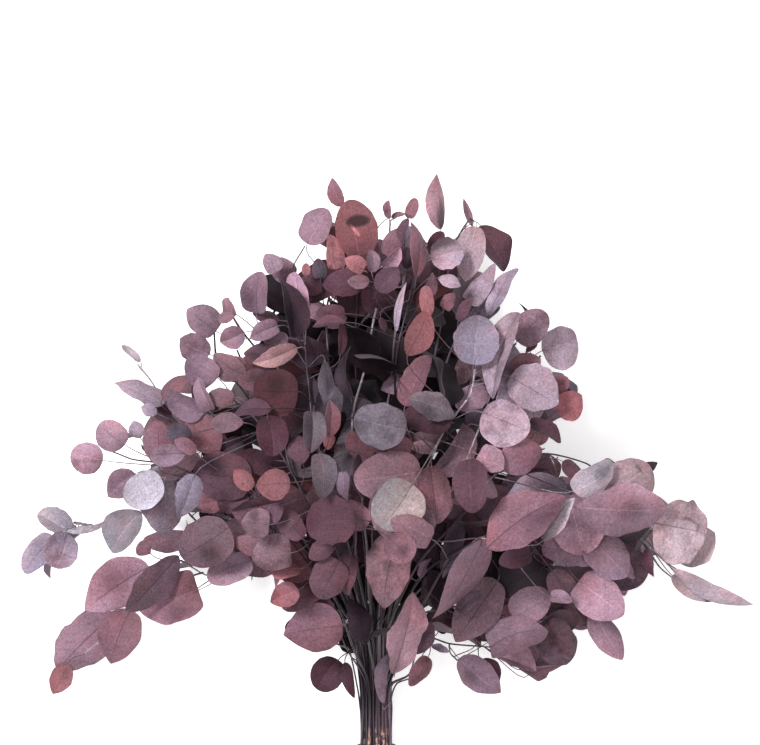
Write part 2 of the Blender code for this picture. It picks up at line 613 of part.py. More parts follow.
def spread_lines(lines, rounds=160):
    """Bend stems and twigs clear of each other, each by its movable points."""
    for _ in range(rounds):
        samples = line_samples(lines, 6.0)
        tree = KDTree(len(samples))
        for index, sample in enumerate(samples):
            tree.insert(sample[0], index)
        tree.balance()
        moves = [[Vector((0, 0, 0)) for _ in line["points"]] for line in lines]
        worst = 0.0
        for index, (position, radius, number, segment, share) in enumerate(samples):
            line = lines[number]
            for other_position, other_index, distance in tree.find_range(position, 7.5):
                other = samples[other_index]
                if other[2] == number or lines[other[2]]["owner"] == line["owner"]:
                    continue
                needed = radius + other[1] + STEM_CLEARANCE
                if segment < 2 or (segment == 2 and share < 0.2):
                    continue
                if distance >= needed:
                    continue
                worst = max(worst, needed - distance)
                push = position - other_position
                if push.length < 1e-6:
                    push = Vector((0, 0, 1 if number > other[2] else -1))
                push = push.normalized() * (needed - distance) * 0.35
                moves[number][segment] += push * (1 - share)
                moves[number][segment + 1] += push * share
        for number, line in enumerate(lines):
            for index in range(line["fixed"], len(line["points"])):
                if line["parent"] is not None and index == 0:
                    continue
                move = moves[number][index]
                if move.length > 2.5:
                    move = move.normalized() * 2.5
                point = line["points"][index] + move
                point.z = max(point.z, FLOOR_CLEARANCE + line["radii"][index] + 1.0)
                line["points"][index] = point
            if line["parent"] is not None:
                parent = lines[line["parent"]]
                line["points"][0] = nearest_on(parent["points"], line["points"][0])
        if worst < 0.05:
            break
    return worst


def line_frames(points, square=0):
    """Side and up vectors at each point of a line, carried along without twist.

    The first points, as many as given by `square`, are cut square to the bundle.
    """
    frames = []
    up = Vector((0, 0, 1))
    for index in range(len(points)):
        before = points[max(0, index - 1)]
        after = points[min(len(points) - 1, index + 1)]
        ahead = Vector((0, 1, 0)) if index < square else (after - before).normalized()
        side = ahead.cross(up)
        if side.length < 1e-4:
            side = ahead.cross(Vector((1, 0, 0)))
        side.normalize()
        up = side.cross(ahead).normalized()
        frames.append((side, up))
    return frames


def tube(points, radii, sides, square=0):
    """Closed tube along a line, as vertices and triangles."""
    vertices = []
    triangles = []
    frames = line_frames(points, square)
    for point, radius, (side, up) in zip(points, radii, frames):
        for k in range(sides):
            angle = 2 * math.pi * k / sides - math.pi / 2
            offset = side * math.cos(angle) + up * math.sin(angle)
            vertices.append(point + offset * radius)
    for ring in range(len(points) - 1):
        for k in range(sides):
            a = ring * sides + k
            b = ring * sides + (k + 1) % sides
            triangles += [(a, b + sides, b), (a, a + sides, b + sides)]
    last = (len(points) - 1) * sides
    for k in range(1, sides - 1):
        triangles.append((0, k, k + 1))
        triangles.append((last, last + k + 1, last + k))
    return vertices, triangles


def ribbon(sections, tip, tip_half):
    """Closed blade through rectangular sections to a tip, as vertices and triangles.

    A section is a centre, a half width vector and a half thickness vector.
    """
    vertices = []
    for centre, half_width, half_thick in sections:
        vertices += [centre - half_width + half_thick, centre + half_width + half_thick,
                     centre + half_width - half_thick, centre - half_width - half_thick]
    vertices += [tip + tip_half, tip - tip_half]
    triangles = [(0, 2, 1), (0, 3, 2)]
    for index in range(len(sections) - 1):
        a = 4 * index
        b = a + 4
        triangles += [(a, a + 1, b + 1), (a, b + 1, b)]
        triangles += [(a + 3, b + 2, a + 2), (a + 3, b + 3, b + 2)]
        triangles += [(a, b + 3, a + 3), (a, b, b + 3)]
        triangles += [(a + 1, a + 2, b + 2), (a + 1, b + 2, b + 1)]
    a = 4 * (len(sections) - 1)
    top = len(vertices) - 2
    bottom = top + 1
    triangles += [(a, a + 1, top), (a + 3, bottom, a + 2)]
    triangles += [(a, bottom, a + 3), (a, top, bottom)]
    triangles += [(a + 1, a + 2, bottom), (a + 1, bottom, top)]
    return vertices, triangles


def blade_widths(leaf):
    """Shares of the length and of the width at the blade's sections."""
    if leaf["width"] >= 35 and leaf["kind"] == "seen":
        return [(0.0, 0.13), (0.2, 0.78), (0.5, 1.0), (0.8, 0.66)]
    if leaf["width"] * leaf["length"] < 330:
        return [(0.0, 0.16), (0.48, 1.0)]
    return [(0.0, 0.12), (0.32, 0.96), (0.68, 0.82)]


def blade_point(leaf, share):
    """Middle of the blade, and its direction, at a share of its length."""
    turn = leaf["bend"] * (share - 0.5)
    ahead = leaf["axis"] * math.cos(turn) - leaf["normal"] * math.sin(turn)
    chord = share * leaf["length"]
    sag = leaf["bend"] * leaf["length"] * (share * share - share) * 0.5
    return leaf["base"] + leaf["axis"] * chord - leaf["normal"] * sag, ahead


def blade_sections(leaf, grow=0.0, first=0.0):
    """Rectangular sections of the blade, and its tip."""
    half = BLADE_THICKNESS / 2 + grow
    sections = []
    for share, width in blade_widths(leaf):
        if share < first:
            share = first
            width = 0.5
        centre, ahead = blade_point(leaf, share)
        normal = leaf["wide"].cross(ahead).normalized()
        half_width = max(0.9, width * leaf["width"] / 2) + grow
        sections.append((centre, leaf["wide"] * half_width, normal * half))
    tip, ahead = blade_point(leaf, 1.0)
    normal = leaf["wide"].cross(ahead).normalized()
    return sections, tip + ahead * grow, normal * half


def set_leaf(leaf, z):
    """Put a leaf at height z, keeping the place where it is seen."""
    base_x, base_y, tip_x, tip_y = leaf["as_seen"]
    middle = spot((base_x + tip_x) / 2, (base_y + tip_y) / 2, z)
    shrink = 1 - (z - EYE_PLANE) / EYE_DISTANCE
    flat = Vector((tip_x - base_x, tip_y - base_y, 0)) * shrink
    flat_length = flat.length
    ahead = flat.normalized()
    pitch = leaf["pitch"]
    axis = ahead * math.cos(pitch) + Vector((0, 0, math.sin(pitch)))
    level = ahead.cross(Vector((0, 0, 1))).normalized()
    straight_up = level.cross(axis).normalized()
    roll = leaf["roll"]
    leaf["axis"] = axis
    leaf["wide"] = (level * math.cos(roll) + straight_up * math.sin(roll)).normalized()
    leaf["normal"] = leaf["wide"].cross(axis).normalized()
    leaf["length"] = flat_length / math.cos(pitch) * leaf["scale"]
    leaf["width"] = leaf["true_width"] * shrink * leaf["scale"]
    leaf["base"] = middle - axis * leaf["length"] / 2
    leaf["z"] = z


def seen_leaf(row, draw):
    """A leaf from its row: turned about its midrib or tipped so that it looks as it is seen."""
    tone, base_x, base_y, tip_x, tip_y, width, depth = row
    length = math.hypot(tip_x - base_x, tip_y - base_y)
    pitch = draw.uniform(-0.2, 0.2)
    roll = draw.uniform(-0.2, 0.2)
    true_width = width
    if width < NARROW * length:
        true_width = min(NARROW * length, width / math.cos(MAX_TURN))
        roll = math.copysign(math.acos(width / true_width), draw.uniform(-1, 1))
    elif width > SHORT * length:
        true_length = min(width / SHORT, length / math.cos(MAX_TURN))
        pitch = math.copysign(math.acos(length / true_length), draw.uniform(-1, 0.6))
    return {"tone": tone, "as_seen": (base_x, base_y, tip_x, tip_y), "true_width": true_width,
            "pitch": pitch, "roll": roll, "bend": draw.uniform(0.1, 0.5), "scale": 1.0,
            "depth": depth * DEPTH_SCALE, "kind": "seen"}


def leaf_probe(leaf):
    """Positions spread over a blade."""
    probes = []
    for share in (0.04, 0.25, 0.5, 0.75, 0.96):
        centre, _ = blade_point(leaf, share)
        half = leaf["width"] / 2 * 0.94 * math.sqrt(max(0.0, 1 - (2 * share - 1) ** 2))
        for side in (-1.0, -0.5, 0.0, 0.5, 1.0):
            probes.append(centre + leaf["wide"] * half * side)
    return probes


class Crowd:
    """Everything placed so far, with a search tree for each piece."""

    def __init__(self):
        self.trees = []
        self.lows = []
        self.highs = []
        self.kinds = []
        self.owners = []
        self.loads = {}

    def add(self, shape, kind, owner):
        vertices, triangles = shape
        cloud = np.array([tuple(vertex) for vertex in vertices])
        self.trees.append(BVHTree.FromPolygons([tuple(v) for v in vertices], triangles))
        self.lows.append(cloud.min(axis=0))
        self.highs.append(cloud.max(axis=0))
        self.kinds.append(kind)
        self.owners.append(owner)
        self.low_array = None

    def near(self, low, high):
        if self.low_array is None:
            self.low_array = np.array(self.lows)
            self.high_array = np.array(self.highs)
        hits = np.all((self.low_array <= high) & (self.high_array >= low), axis=1)
        return np.nonzero(hits)[0]

    def touches(self, shape, skip=()):
        """True if the shape crosses anything, apart from pieces of the skipped kinds."""
        vertices, triangles = shape
        cloud = np.array([tuple(vertex) for vertex in vertices])
        close = self.near(cloud.min(axis=0), cloud.max(axis=0))
        if len(close) == 0:
            return False
        tree = BVHTree.FromPolygons([tuple(v) for v in vertices], triangles)
        for index in close:
            if (self.kinds[index], self.owners[index]) in skip:
                continue
            if tree.overlap(self.trees[index]):
                return True
        return False

    def drop(self, leaf):
        """How far the leaf has to go down to be behind all leaves seen before it."""
        probes = leaf_probe(leaf)
        cloud = np.array([tuple(probe) for probe in probes])
        low = cloud.min(axis=0) - np.array((25.0, 25.0, 320.0))
        high = cloud.max(axis=0) + np.array((25.0, 25.0, 1.0))
        needed = 0.0
        for index in self.near(low, high):
            if self.kinds[index] != "blade":
                continue
            for probe in probes:
                hit = self.trees[index].ray_cast(probe, away(probe))
                if hit[0] is not None:
                    needed = max(needed, hit[3])
        return needed


def base_half_width(leaf):
    """Half the width of the blade where the stalk meets it."""
    return max(0.9, blade_widths(leaf)[0][1] * leaf["width"] / 2)


def stalk_frame(leaf, root):
    """Directions of a stalk from a root: ahead, across and through; and at its blade's joint."""
    ahead = (leaf["base"] - root).normalized()
    side = (leaf["wide"] - ahead * leaf["wide"].dot(ahead)).normalized()
    joint_ahead = (ahead + leaf["axis"]).normalized()
    joint_thick = leaf["wide"].cross(joint_ahead).normalized()
    stretch = 1 / max(0.5, joint_ahead.dot(leaf["axis"]))
    return ahead, side, side.cross(ahead).normalized(), joint_thick * stretch


def stalk_shape(leaf, root, root_radius, grow):
    """Stalk from just outside a stem to a leaf's base, for a clearance test, or None."""
    base = leaf["base"]
    ahead, side, thick, joint_thick = stalk_frame(leaf, root)
    length = (base - root).length
    start = root_radius + 0.9
    if length - start < 0.5:
        return None
    base_half = base_half_width(leaf)
    start_half = ROOT_WIDTH / 2 + (base_half - ROOT_WIDTH / 2) * start / length
    sections = [
        (root + ahead * start, side * (start_half + grow), thick * (ROOT_THICKNESS / 2 + grow)),
        (base, leaf["wide"] * (base_half + grow), joint_thick * (STALK_THICKNESS / 2 + grow)),
    ]
    tip, _ = blade_point(leaf, 0.07)
    return ribbon(sections, tip, leaf["normal"] * (BLADE_THICKNESS / 2 + grow))


def find_root(leaf, samples, tree, crowd, reach, limit=60):
    """Best place on a stem for the leaf's stalk, or None."""
    base = leaf["base"]
    options = []
    for position, index, distance in tree.find_range(base, reach):
        radius, number, owner, tangent = samples[index]
        if distance < radius + 2.5:
            continue
        ahead = (base - position) / distance
        along_leaf = ahead.dot(leaf["axis"])
        along_stem = ahead.dot(tangent)
        if along_leaf < -0.35 or abs(ahead.dot(leaf["wide"])) > 0.93:
            continue
        cost = distance * (1.8 - 0.8 * along_leaf) + 26 * max(0.0, 0.15 - along_stem)
        cost += LOAD_COST * crowd.loads.get(owner, 0)
        options.append((cost, index, position))
    options.sort(key=lambda item: (item[0], item[1]))
    for cost, index, position in options[:limit]:
        radius, number, owner, tangent = samples[index]
        shape = stalk_shape(leaf, position, radius, LEAF_CLEARANCE)
        if shape is None:
            continue
        if not crowd.touches(shape, {("stem", owner)}):
            return position, owner, radius
    return None


def leaf_shape(leaf):
    """The whole leaf with its stalk, as vertices and triangles."""
    sections, tip, tip_half = blade_sections(leaf)
    ahead, side, thick, joint_thick = stalk_frame(leaf, leaf["root"])
    root = (leaf["root"], side * ROOT_WIDTH / 2, thick * ROOT_THICKNESS / 2)
    if leaf["kind"] != "resting":
        centre, half_width, _ = sections[0]
        sections[0] = (centre, half_width, joint_thick * STALK_THICKNESS / 2)
    return ribbon([root] + sections, tip, tip_half)


def settle(leaf, start, crowd, samples, tree):
    """Lower a leaf from its starting height until it and its stalk are clear."""
    z = start
    for _ in range(SETTLE_STEPS):
        set_leaf(leaf, z)
        if leaf["kind"] == "seen":
            for _ in range(8):
                fall = crowd.drop(leaf)
                if fall <= 0:
                    break
                z -= fall + 1.2
                set_leaf(leaf, z)
        low = min(probe.z for probe in leaf_probe(leaf))
        if low < FLOOR_CLEARANCE + 0.5:
            return False
        shape = ribbon(*blade_sections(leaf, LEAF_CLEARANCE, 0.06))
        if not crowd.touches(shape):
            found = find_root(leaf, samples, tree, crowd, STALK_REACH)
            if found is not None:
                leaf["root"], leaf["owner"], leaf["root_radius"] = found
                return True
        z -= SETTLE_STEP
    return False


def keep(leaf, crowd):
    """Add a placed leaf to the crowd."""
    crowd.loads[leaf["owner"]] = crowd.loads.get(leaf["owner"], 0) + 1
    kind = "blade" if leaf["kind"] == "seen" else "back_blade"
    crowd.add(ribbon(*blade_sections(leaf)), kind, leaf["owner"])
    crowd.add(stalk_shape(leaf, leaf["root"], leaf["root_radius"], 0.0), "stalk", leaf["owner"])


def resting_leaf(row):
    """A flat leaf whose underside lies on the surface."""
    tone, base_x, base_y, tip_x, tip_y, width = row
    z = BLADE_THICKNESS / 2
    leaf = {"tone": tone, "pitch": 0.0, "roll": 0.0, "bend": 0.0, "scale": 1.0, "depth": 0,
            "kind": "resting", "true_width": width}
    leaf["axis"] = Vector((tip_x - base_x, tip_y - base_y, 0)).normalized()
    leaf["wide"] = leaf["axis"].cross(Vector((0, 0, 1)))
    leaf["normal"] = Vector((0, 0, 1))
    leaf["length"] = math.hypot(tip_x - base_x, tip_y - base_y)
    leaf["width"] = width
    leaf["base"] = Vector((base_x, base_y, z))
    leaf["z"] = z
    return leaf


def cell(x, y):
    """The cell of the view that a place is in."""
    return (int(x // CELL), int(y // CELL))


def leaf_cells(leaf):
    """Cells of the view that a leaf covers."""
    cells = set()
    for along in range(13):
        share = along / 12
        centre, _ = blade_point(leaf, share)
        half = leaf["width"] / 2 * math.sqrt(max(0.0, 1 - (2 * share - 1) ** 2))
        for across in range(-6, 7):
            cells.add(cell(*seen(centre + leaf["wide"] * half * across / 6)))
    return cells


def inside_outline(x, y):
    """True if a place is inside the foliage's outline."""
    inside = False
    for index in range(len(OUTLINE)):
        ax, ay = OUTLINE[index - 1]
        bx, by = OUTLINE[index]
        if (ay > y) != (by > y) and x < ax + (y - ay) / (by - ay) * (bx - ax):
            inside = not inside
    return inside


def outline_cells():
    """Cells of the view inside the foliage's outline."""
    xs = [corner[0] for corner in OUTLINE]
    ys = [corner[1] for corner in OUTLINE]
    cells = set()
    for i in range(int(min(xs) // CELL), int(max(xs) // CELL) + 1):
        for j in range(int(min(ys) // CELL), int(max(ys) // CELL) + 1):
            if inside_outline((i + 0.5) * CELL, (j + 0.5) * CELL):
                cells.add((i, j))
    return cells


def filler_fits(leaf, allowed, crowd):
    """True if a leaf of the inside stays hidden where the view is open, and off the front."""
    for probe in leaf_probe(leaf):
        x, y = seen(probe)
        if cell(x, y) not in allowed:
            return False
        if probe.z > heights(x, y)[1] - 12 or probe.z < FLOOR_CLEARANCE + 1.2:
            return False
    return crowd.drop(leaf) <= 0


def filler_spots(lines, draw):
    """Places along the stems where leaves can grow: position, direction and side."""
    spots = []
    for line in lines:
        points = line["points"]
        travelled = draw.uniform(0, FILLER_SPACING)
        side = draw.uniform(0, 2 * math.pi)
        for segment in range(max(0, line["fixed"] - 1), len(points) - 1):
            run = points[segment + 1] - points[segment]
            while travelled < run.length:
                position = points[segment] + run * (travelled / run.length)
                if position.y > 60:
                    spots.append((position, run.normalized(), side))
                travelled += FILLER_SPACING
                side += 2.4
            travelled -= run.length
    draw.shuffle(spots)
    return spots


def filler_leaf(position, ahead, angle, draw):
    """A leaf that grows from a stem at an angle round it."""
    across = ahead.cross(Vector((0, 0, 1))).normalized()
    up = across.cross(ahead)
    out = across * math.cos(angle) + up * math.sin(angle)
    lean = draw.uniform(0.75, 1.2)
    axis = (ahead * math.cos(lean) + out * math.sin(lean)).normalized()
    length = draw.uniform(*FILLER_LENGTHS)
    width = length * draw.uniform(0.72, 0.95)
    base = position + axis * draw.uniform(9, 16)
    wide = axis.cross(ahead).normalized()
    tilt = draw.uniform(-0.9, 0.9)
    wide = wide * math.cos(tilt) + axis.cross(wide) * math.sin(tilt)
    back, front = heights(base.x, base.y)
    depth = (front - base.z) / max(1.0, front - back)
    tones = INNER_TONES if 0.3 < depth < 0.8 else OUTER_TONES
    return {"tone": draw.choice(tones), "pitch": 0.0, "roll": 0.0,
            "bend": draw.uniform(0.1, 0.4), "scale": 1.0, "depth": 0, "kind": "filler",
            "true_width": width, "width": width, "length": length, "axis": axis,
            "wide": wide, "normal": wide.cross(axis).normalized(), "base": base, "z": base.z}


def filler_leaves(lines, leaves, crowd, samples, tree, draw, limit):
    """Leaves of the inside, back and underside: first where the view is bare, then all over."""
    placed = []
    covered = set()
    for leaf in leaves:
        covered |= leaf_cells(leaf)
    allowed = covered | outline_cells()
    spots = filler_spots(lines, draw)
    for least in (GAP_SHARE, 0.0):
        for position, ahead, side in spots:
            if len(placed) >= limit:
                return placed
            for turn in range(6):
                leaf = filler_leaf(position, ahead, side + turn * 1.05, draw)
                cells = leaf_cells(leaf)
                if len(cells - covered) < least * len(cells):
                    continue
                if not filler_fits(leaf, allowed, crowd):
                    continue
                if crowd.touches(ribbon(*blade_sections(leaf, LEAF_CLEARANCE, 0.06))):
                    continue
                found = find_root(leaf, samples, tree, crowd, 40.0, 12)
                if found is None:
                    continue
                leaf["root"], leaf["owner"], leaf["root_radius"] = found
                keep(leaf, crowd)
                covered |= cells
                placed.append(leaf)
                break
    return placed


def lay_out():
    """Stems, twigs and leaves of the whole bunch, each clear of the others."""
    draw = random.Random(23)
    lines = stem_lines()
    spread_lines(lines)
    crowd = Crowd()
    for line in lines:
        for segment in range(len(line["points"]) - 1):
            ends = slice(segment, segment + 2)
            crowd.add(tube(line["points"][ends], line["radii"][ends], line["sides"]), "stem",
                      line["owner"])
    samples = []
    positions = []
    for position, radius, number, segment, share in line_samples(lines, 5.0):
        line = lines[number]
        tangent = (line["points"][segment + 1] - line["points"][segment]).normalized()
        if position.y > 18:
            positions.append(position)
            samples.append((radius, number, line["owner"], tangent))
    tree = KDTree(len(positions))
    for index, position in enumerate(positions):
        tree.insert(position, index)
    tree.balance()
    leaves = []
    missing = []
    for row in RESTING_LEAVES:
        leaf = resting_leaf(row)
        found = find_root(leaf, samples, tree, crowd, 90.0)
        if found is None or crowd.touches(ribbon(*blade_sections(leaf, LEAF_CLEARANCE, 0.06))):
            missing.append(row)
            continue
        leaf["root"], leaf["owner"], leaf["root_radius"] = found
        keep(leaf, crowd)
        leaves.append(leaf)
    for row in sorted(LEAVES, key=lambda item: item[6]):
        leaf = seen_leaf(row, draw)
        pitch = leaf["pitch"]
        roll = leaf["roll"]
        middle_x = (row[1] + row[3]) / 2
        middle_y = (row[2] + row[4]) / 2
        start = heights(middle_x, middle_y)[1] - leaf["depth"]
        done = False
        for scale, tip_turn, roll_turn, lift in TRIES:
            leaf["scale"] = scale
            leaf["pitch"] = pitch + tip_turn
            leaf["roll"] = roll + roll_turn
            if settle(leaf, start + lift, crowd, samples, tree):
                done = True
                break
        if not done:
            missing.append(row)
            continue
        keep(leaf, crowd)
        leaves.append(leaf)
    leaves += filler_leaves(lines, leaves, crowd, samples, tree, draw, FILLER_LIMIT)
    return lines, leaves, missing


def add_object(name, shape, material=None):
    """A mesh object from vertices in millimetres and triangles."""
    vertices, triangles = shape
    mesh = bpy.data.meshes.new(name)
    mesh.from_pydata([tuple(Vector(v) * MM) for v in vertices], [], triangles)
    mesh.validate()
    mesh.update()
    obj = bpy.data.objects.new(name, mesh)
    bpy.context.scene.collection.objects.link(obj)
    if material is not None:
        mesh.materials.append(material)
    return obj


def plain_material(name, colour, roughness):
    """A Principled material of one colour."""
    material = bpy.data.materials.new(name)
    material.use_nodes = True
    shader = material.node_tree.nodes["Principled BSDF"]
    shader.inputs["Base Color"].default_value = (*colour, 1)
    shader.inputs["Roughness"].default_value = roughness
    shader.inputs["Metallic"].default_value = 0.0
    return material


def join_all(body, others):
    """Join the other objects to the body with one Boolean union, and remove them."""
    if not others:
        return
    group = bpy.data.collections.new("joined")
    bpy.context.scene.collection.children.link(group)
    for other in others:
        bpy.context.scene.collection.objects.unlink(other)
        group.objects.link(other)
    union = body.modifiers.new("union", "BOOLEAN")
    union.operation = "UNION"
    union.operand_type = "COLLECTION"
    union.collection = group
    union.solver = SOLVER
    graph = bpy.context.evaluated_depsgraph_get()
    joined = bpy.data.meshes.new_from_object(body.evaluated_get(graph))
    body.modifiers.clear()
    old = body.data
    body.data = joined
    bpy.data.meshes.remove(old)
    for other in list(group.objects):
        bpy.data.objects.remove(other)
    bpy.data.collections.remove(group)
    tidy_seams(body)


def is_closed(mesh):
    """True if every edge has two faces and every corner one fan of faces."""
    return all(edge.is_manifold for edge in mesh.edges) and all(
        corner.is_manifold for corner in mesh.verts)


def tidy_seams(body):
    """Merge the crowded corners along the seams, as far as the solid stays closed."""
    for distance in SEAM_MERGES:
        mesh = bmesh.new()
        mesh.from_mesh(body.data)
        bmesh.ops.triangulate(mesh, faces=mesh.faces)
        bmesh.ops.remove_doubles(mesh, verts=mesh.verts, dist=distance * MM)
        bmesh.ops.dissolve_degenerate(mesh, edges=mesh.edges, dist=0.02 * MM)
        bmesh.ops.triangulate(mesh, faces=mesh.faces)
        closed = is_closed(mesh)
        if closed:
            mesh.to_mesh(body.data)
        mesh.free()
        if closed:
            break


def spray_tone(leaves):
    """The tone of most of a spray's leaves."""
    counts = {}
    for leaf in leaves:
        counts[leaf["tone"]] = counts.get(leaf["tone"], 0) + 1
    return max(sorted(counts), key=lambda tone: counts[tone]) if counts else "plum"


def build_spray(owner, lines, leaves):
    """One spray: its stem, twigs and leaves in one solid."""
    name = "spray_" + SPRAYS[owner][0]
    own_lines = [line for line in lines if line["owner"] == owner]
    own_leaves = [leaf for leaf in leaves if leaf["owner"] == owner]
    tone = spray_tone(own_leaves)
    material = plain_material("leaf_" + tone + "_" + SPRAYS[owner][0], TONES[tone], 0.6)
    shapes = [tube(line["points"], line["radii"], line["sides"], line["fixed"])
              for line in own_lines]
    shapes += [leaf_shape(leaf) for leaf in own_leaves]
    body = add_object(name, shapes[0], material)
    others = [add_object("piece", shape) for shape in shapes[1:]]
    join_all(body, others)
    body.data.name = name
    body.data.materials.clear()
    body.data.materials.append(material)
    for polygon in body.data.polygons:
        polygon.material_index = 0
    return body


def hull(points):
    """Convex outline of flat points, in order."""
    points = sorted(set(points))

    def half(sequence):
        chain = []
        for point in sequence:
            while len(chain) > 1:
                ax, ay = chain[-2]
                bx, by = chain[-1]
                if (bx - ax) * (point[1] - ay) - (by - ay) * (point[0] - ax) > 0:
                    break
                chain.pop()
            chain.append(point)
        return chain[:-1]

    return half(points) + half(points[::-1])


def build_band():
    """The plain rubber band round the stems."""
    slots = bundle_slots()
    inner = []
    outer = []
    for k in range(BAND_SIDES):
        angle = 2 * math.pi * k / BAND_SIDES
        direction = (math.cos(angle), math.sin(angle))
        reach = max(x * direction[0] + z * direction[1] for x, z in slots)
        reach = (reach + STEM_RADIUS + BAND_GAP) / math.cos(math.pi / BAND_SIDES)
        inner.append((direction[0], direction[1], reach))
    corners = []
    for index in range(BAND_SIDES):
        ax, az, a_reach = inner[index]
        bx, bz, b_reach = inner[(index + 1) % BAND_SIDES]
        cross = ax * bz - az * bx
        corners.append(((a_reach * bz - b_reach * az) / cross,
                        (ax * b_reach - bx * a_reach) / cross))
    corners = hull(corners)
    vertices = []
    count = len(corners)
    for y in (TIE_Y - BAND_WIDTH / 2, TIE_Y + BAND_WIDTH / 2):
        for grow in (0.0, BAND_THICKNESS):
            for x, z in corners:
                size = math.hypot(x, z)
                scale = (size + grow) / size
                vertices.append(Vector((x * scale, y, TIE_HEIGHT + z * scale)))
    triangles = []

    def quad(a, b, c, d):
        triangles.extend([(a, c, b), (a, d, c)])

    for k in range(count):
        n = (k + 1) % count
        quad(k, k + 2 * count, n + 2 * count, n)
        quad(k + count, n + count, n + 3 * count, k + 3 * count)
        quad(k, n, n + count, k + count)
        quad(k + 2 * count, k + 3 * count, n + 3 * count, n + 2 * count)
    material = plain_material("band_rubber", BAND_COLOUR, 0.7)
    return add_object("tie_band", (vertices, triangles), material)


def centre_on_origin(objects):
    """Move the bunch so that its box is centred over the origin and stands on z = 0."""
    corners = [obj.matrix_world @ vertex.co for obj in objects for vertex in obj.data.vertices]
    shift = Vector(((min(c.x for c in corners) + max(c.x for c in corners)) / 2,
                    (min(c.y for c in corners) + max(c.y for c in corners)) / 2,
                    min(c.z for c in corners)))
    for obj in objects:
        for vertex in obj.data.vertices:
            vertex.co -= shift
    return shift


def build():
    """Build the whole bunch."""
    for obj in list(bpy.data.objects):
        bpy.data.objects.remove(obj)
    lines, leaves, missing = lay_out()
    objects = [build_spray(owner, lines, leaves) for owner in range(len(SPRAYS))]
    objects.append(build_band())
    shift = centre_on_origin(objects)
    kinds = [leaf["kind"] for leaf in leaves]
    print("leaves", {kind: kinds.count(kind) for kind in sorted(set(kinds))})
    print("missing", missing)
    print("shift", tuple(round(value / MM, 3) for value in shift))
    print("triangles", sum(len(obj.data.polygons) for obj in objects))


build()
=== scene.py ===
"""Looks of a bunch of preserved eucalyptus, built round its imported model.

The bunch lies on a pale floor and the camera looks straight down on it. The layout of stems and
leaves is the source's own, in millimetres, so every fine piece lies where its solid is.
"""
import json
import math
import random

import bpy
import numpy as np
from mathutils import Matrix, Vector
from mathutils.bvhtree import BVHTree
from mathutils.kdtree import KDTree

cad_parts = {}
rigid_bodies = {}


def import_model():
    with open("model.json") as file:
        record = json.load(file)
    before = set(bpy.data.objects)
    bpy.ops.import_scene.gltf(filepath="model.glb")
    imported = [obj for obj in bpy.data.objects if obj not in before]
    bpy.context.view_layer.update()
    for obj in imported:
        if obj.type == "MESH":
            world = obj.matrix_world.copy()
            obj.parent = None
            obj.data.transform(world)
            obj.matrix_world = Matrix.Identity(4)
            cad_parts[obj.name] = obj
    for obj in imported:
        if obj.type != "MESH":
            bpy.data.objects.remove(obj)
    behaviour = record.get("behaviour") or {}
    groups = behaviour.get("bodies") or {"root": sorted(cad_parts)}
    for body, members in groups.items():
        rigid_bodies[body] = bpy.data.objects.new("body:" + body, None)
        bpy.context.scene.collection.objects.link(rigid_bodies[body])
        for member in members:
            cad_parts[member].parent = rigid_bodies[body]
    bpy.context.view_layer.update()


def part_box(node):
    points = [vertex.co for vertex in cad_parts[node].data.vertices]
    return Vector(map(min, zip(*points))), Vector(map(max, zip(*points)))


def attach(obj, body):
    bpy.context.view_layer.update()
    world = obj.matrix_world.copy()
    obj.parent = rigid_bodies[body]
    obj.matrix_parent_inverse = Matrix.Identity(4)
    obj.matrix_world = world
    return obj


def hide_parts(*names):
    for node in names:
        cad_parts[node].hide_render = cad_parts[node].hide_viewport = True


MM = 0.001

# The eye that looks down on the bunch, for places given as seen
EYE_X = 3.6
EYE_Y = 335.0
EYE_PLANE = 150.0
EYE_DISTANCE = 1615.0

# Seeds of the random draws
STEM_SEED = 11
LEAF_SEED = 23
EXTRA_SEED = 41
LOOK_SEED = 7

# The tied bundle
STEM_RADIUS = 2.3
TIP_RADIUS = 1.1
TWIG_RADIUS = 1.1
TWIG_TIP_RADIUS = 0.8
TAPER = 0.6
SLOT_PITCH = 4.72
SLOT_REACH = 3.5
SLOT_ROWS = 4
SLOT_COLUMNS = 6
TIE_Y = -28.0
TIE_HEIGHT = 32.0
TIE_START = 7.0
CUT_Y = -184.0
CUT_STAGGER = 9.0
CUT_SPREAD = 1.2
CUT_LIFT = 0.02
HOLD_Y = 34.0
NECK_Y = 84.0
NECK_SPREAD = 1.5
NECK_RISE = 1.15
NECK_TURN = 0.6
NECK_ROOM = 25.0
STEM_SIDES = 5
TWIG_SIDES = 4

# How stems are bent clear of each other: points and share of a segment that stay where they
# are, step between samples, reach of the search, share of the lack of room that a round makes
# up for, farthest move, and the lack of room that may stay
STEM_CLEARANCE = 0.7
HELD_POINTS = 3
HELD_SHARE = 0.2
SPREAD_ROUNDS = 160
SPREAD_STEP = 6.0
SPREAD_REACH = 7.5
SPREAD_SHARE = 0.35
SPREAD_MOVE = 2.5
SPREAD_REST = 0.05
LINE_LIFT = 1.0

# The band: how thick it is and how far it clears the stems. Then the fine band's width, its way
# towards the cut ends, corners of its section, steps round the bundle, how flat its faces and
# edges are, and how far it wanders
BAND_THICKNESS = 1.6
BAND_GAP = 0.3
FINE_BAND_WIDTH = 7.0
FINE_BAND_SHIFT = 0.9
BAND_PROFILE = 14
BAND_TURNS = 64
BAND_FLAT = 0.35
BAND_CROWN = 0.8
BAND_DRIFT = 0.25

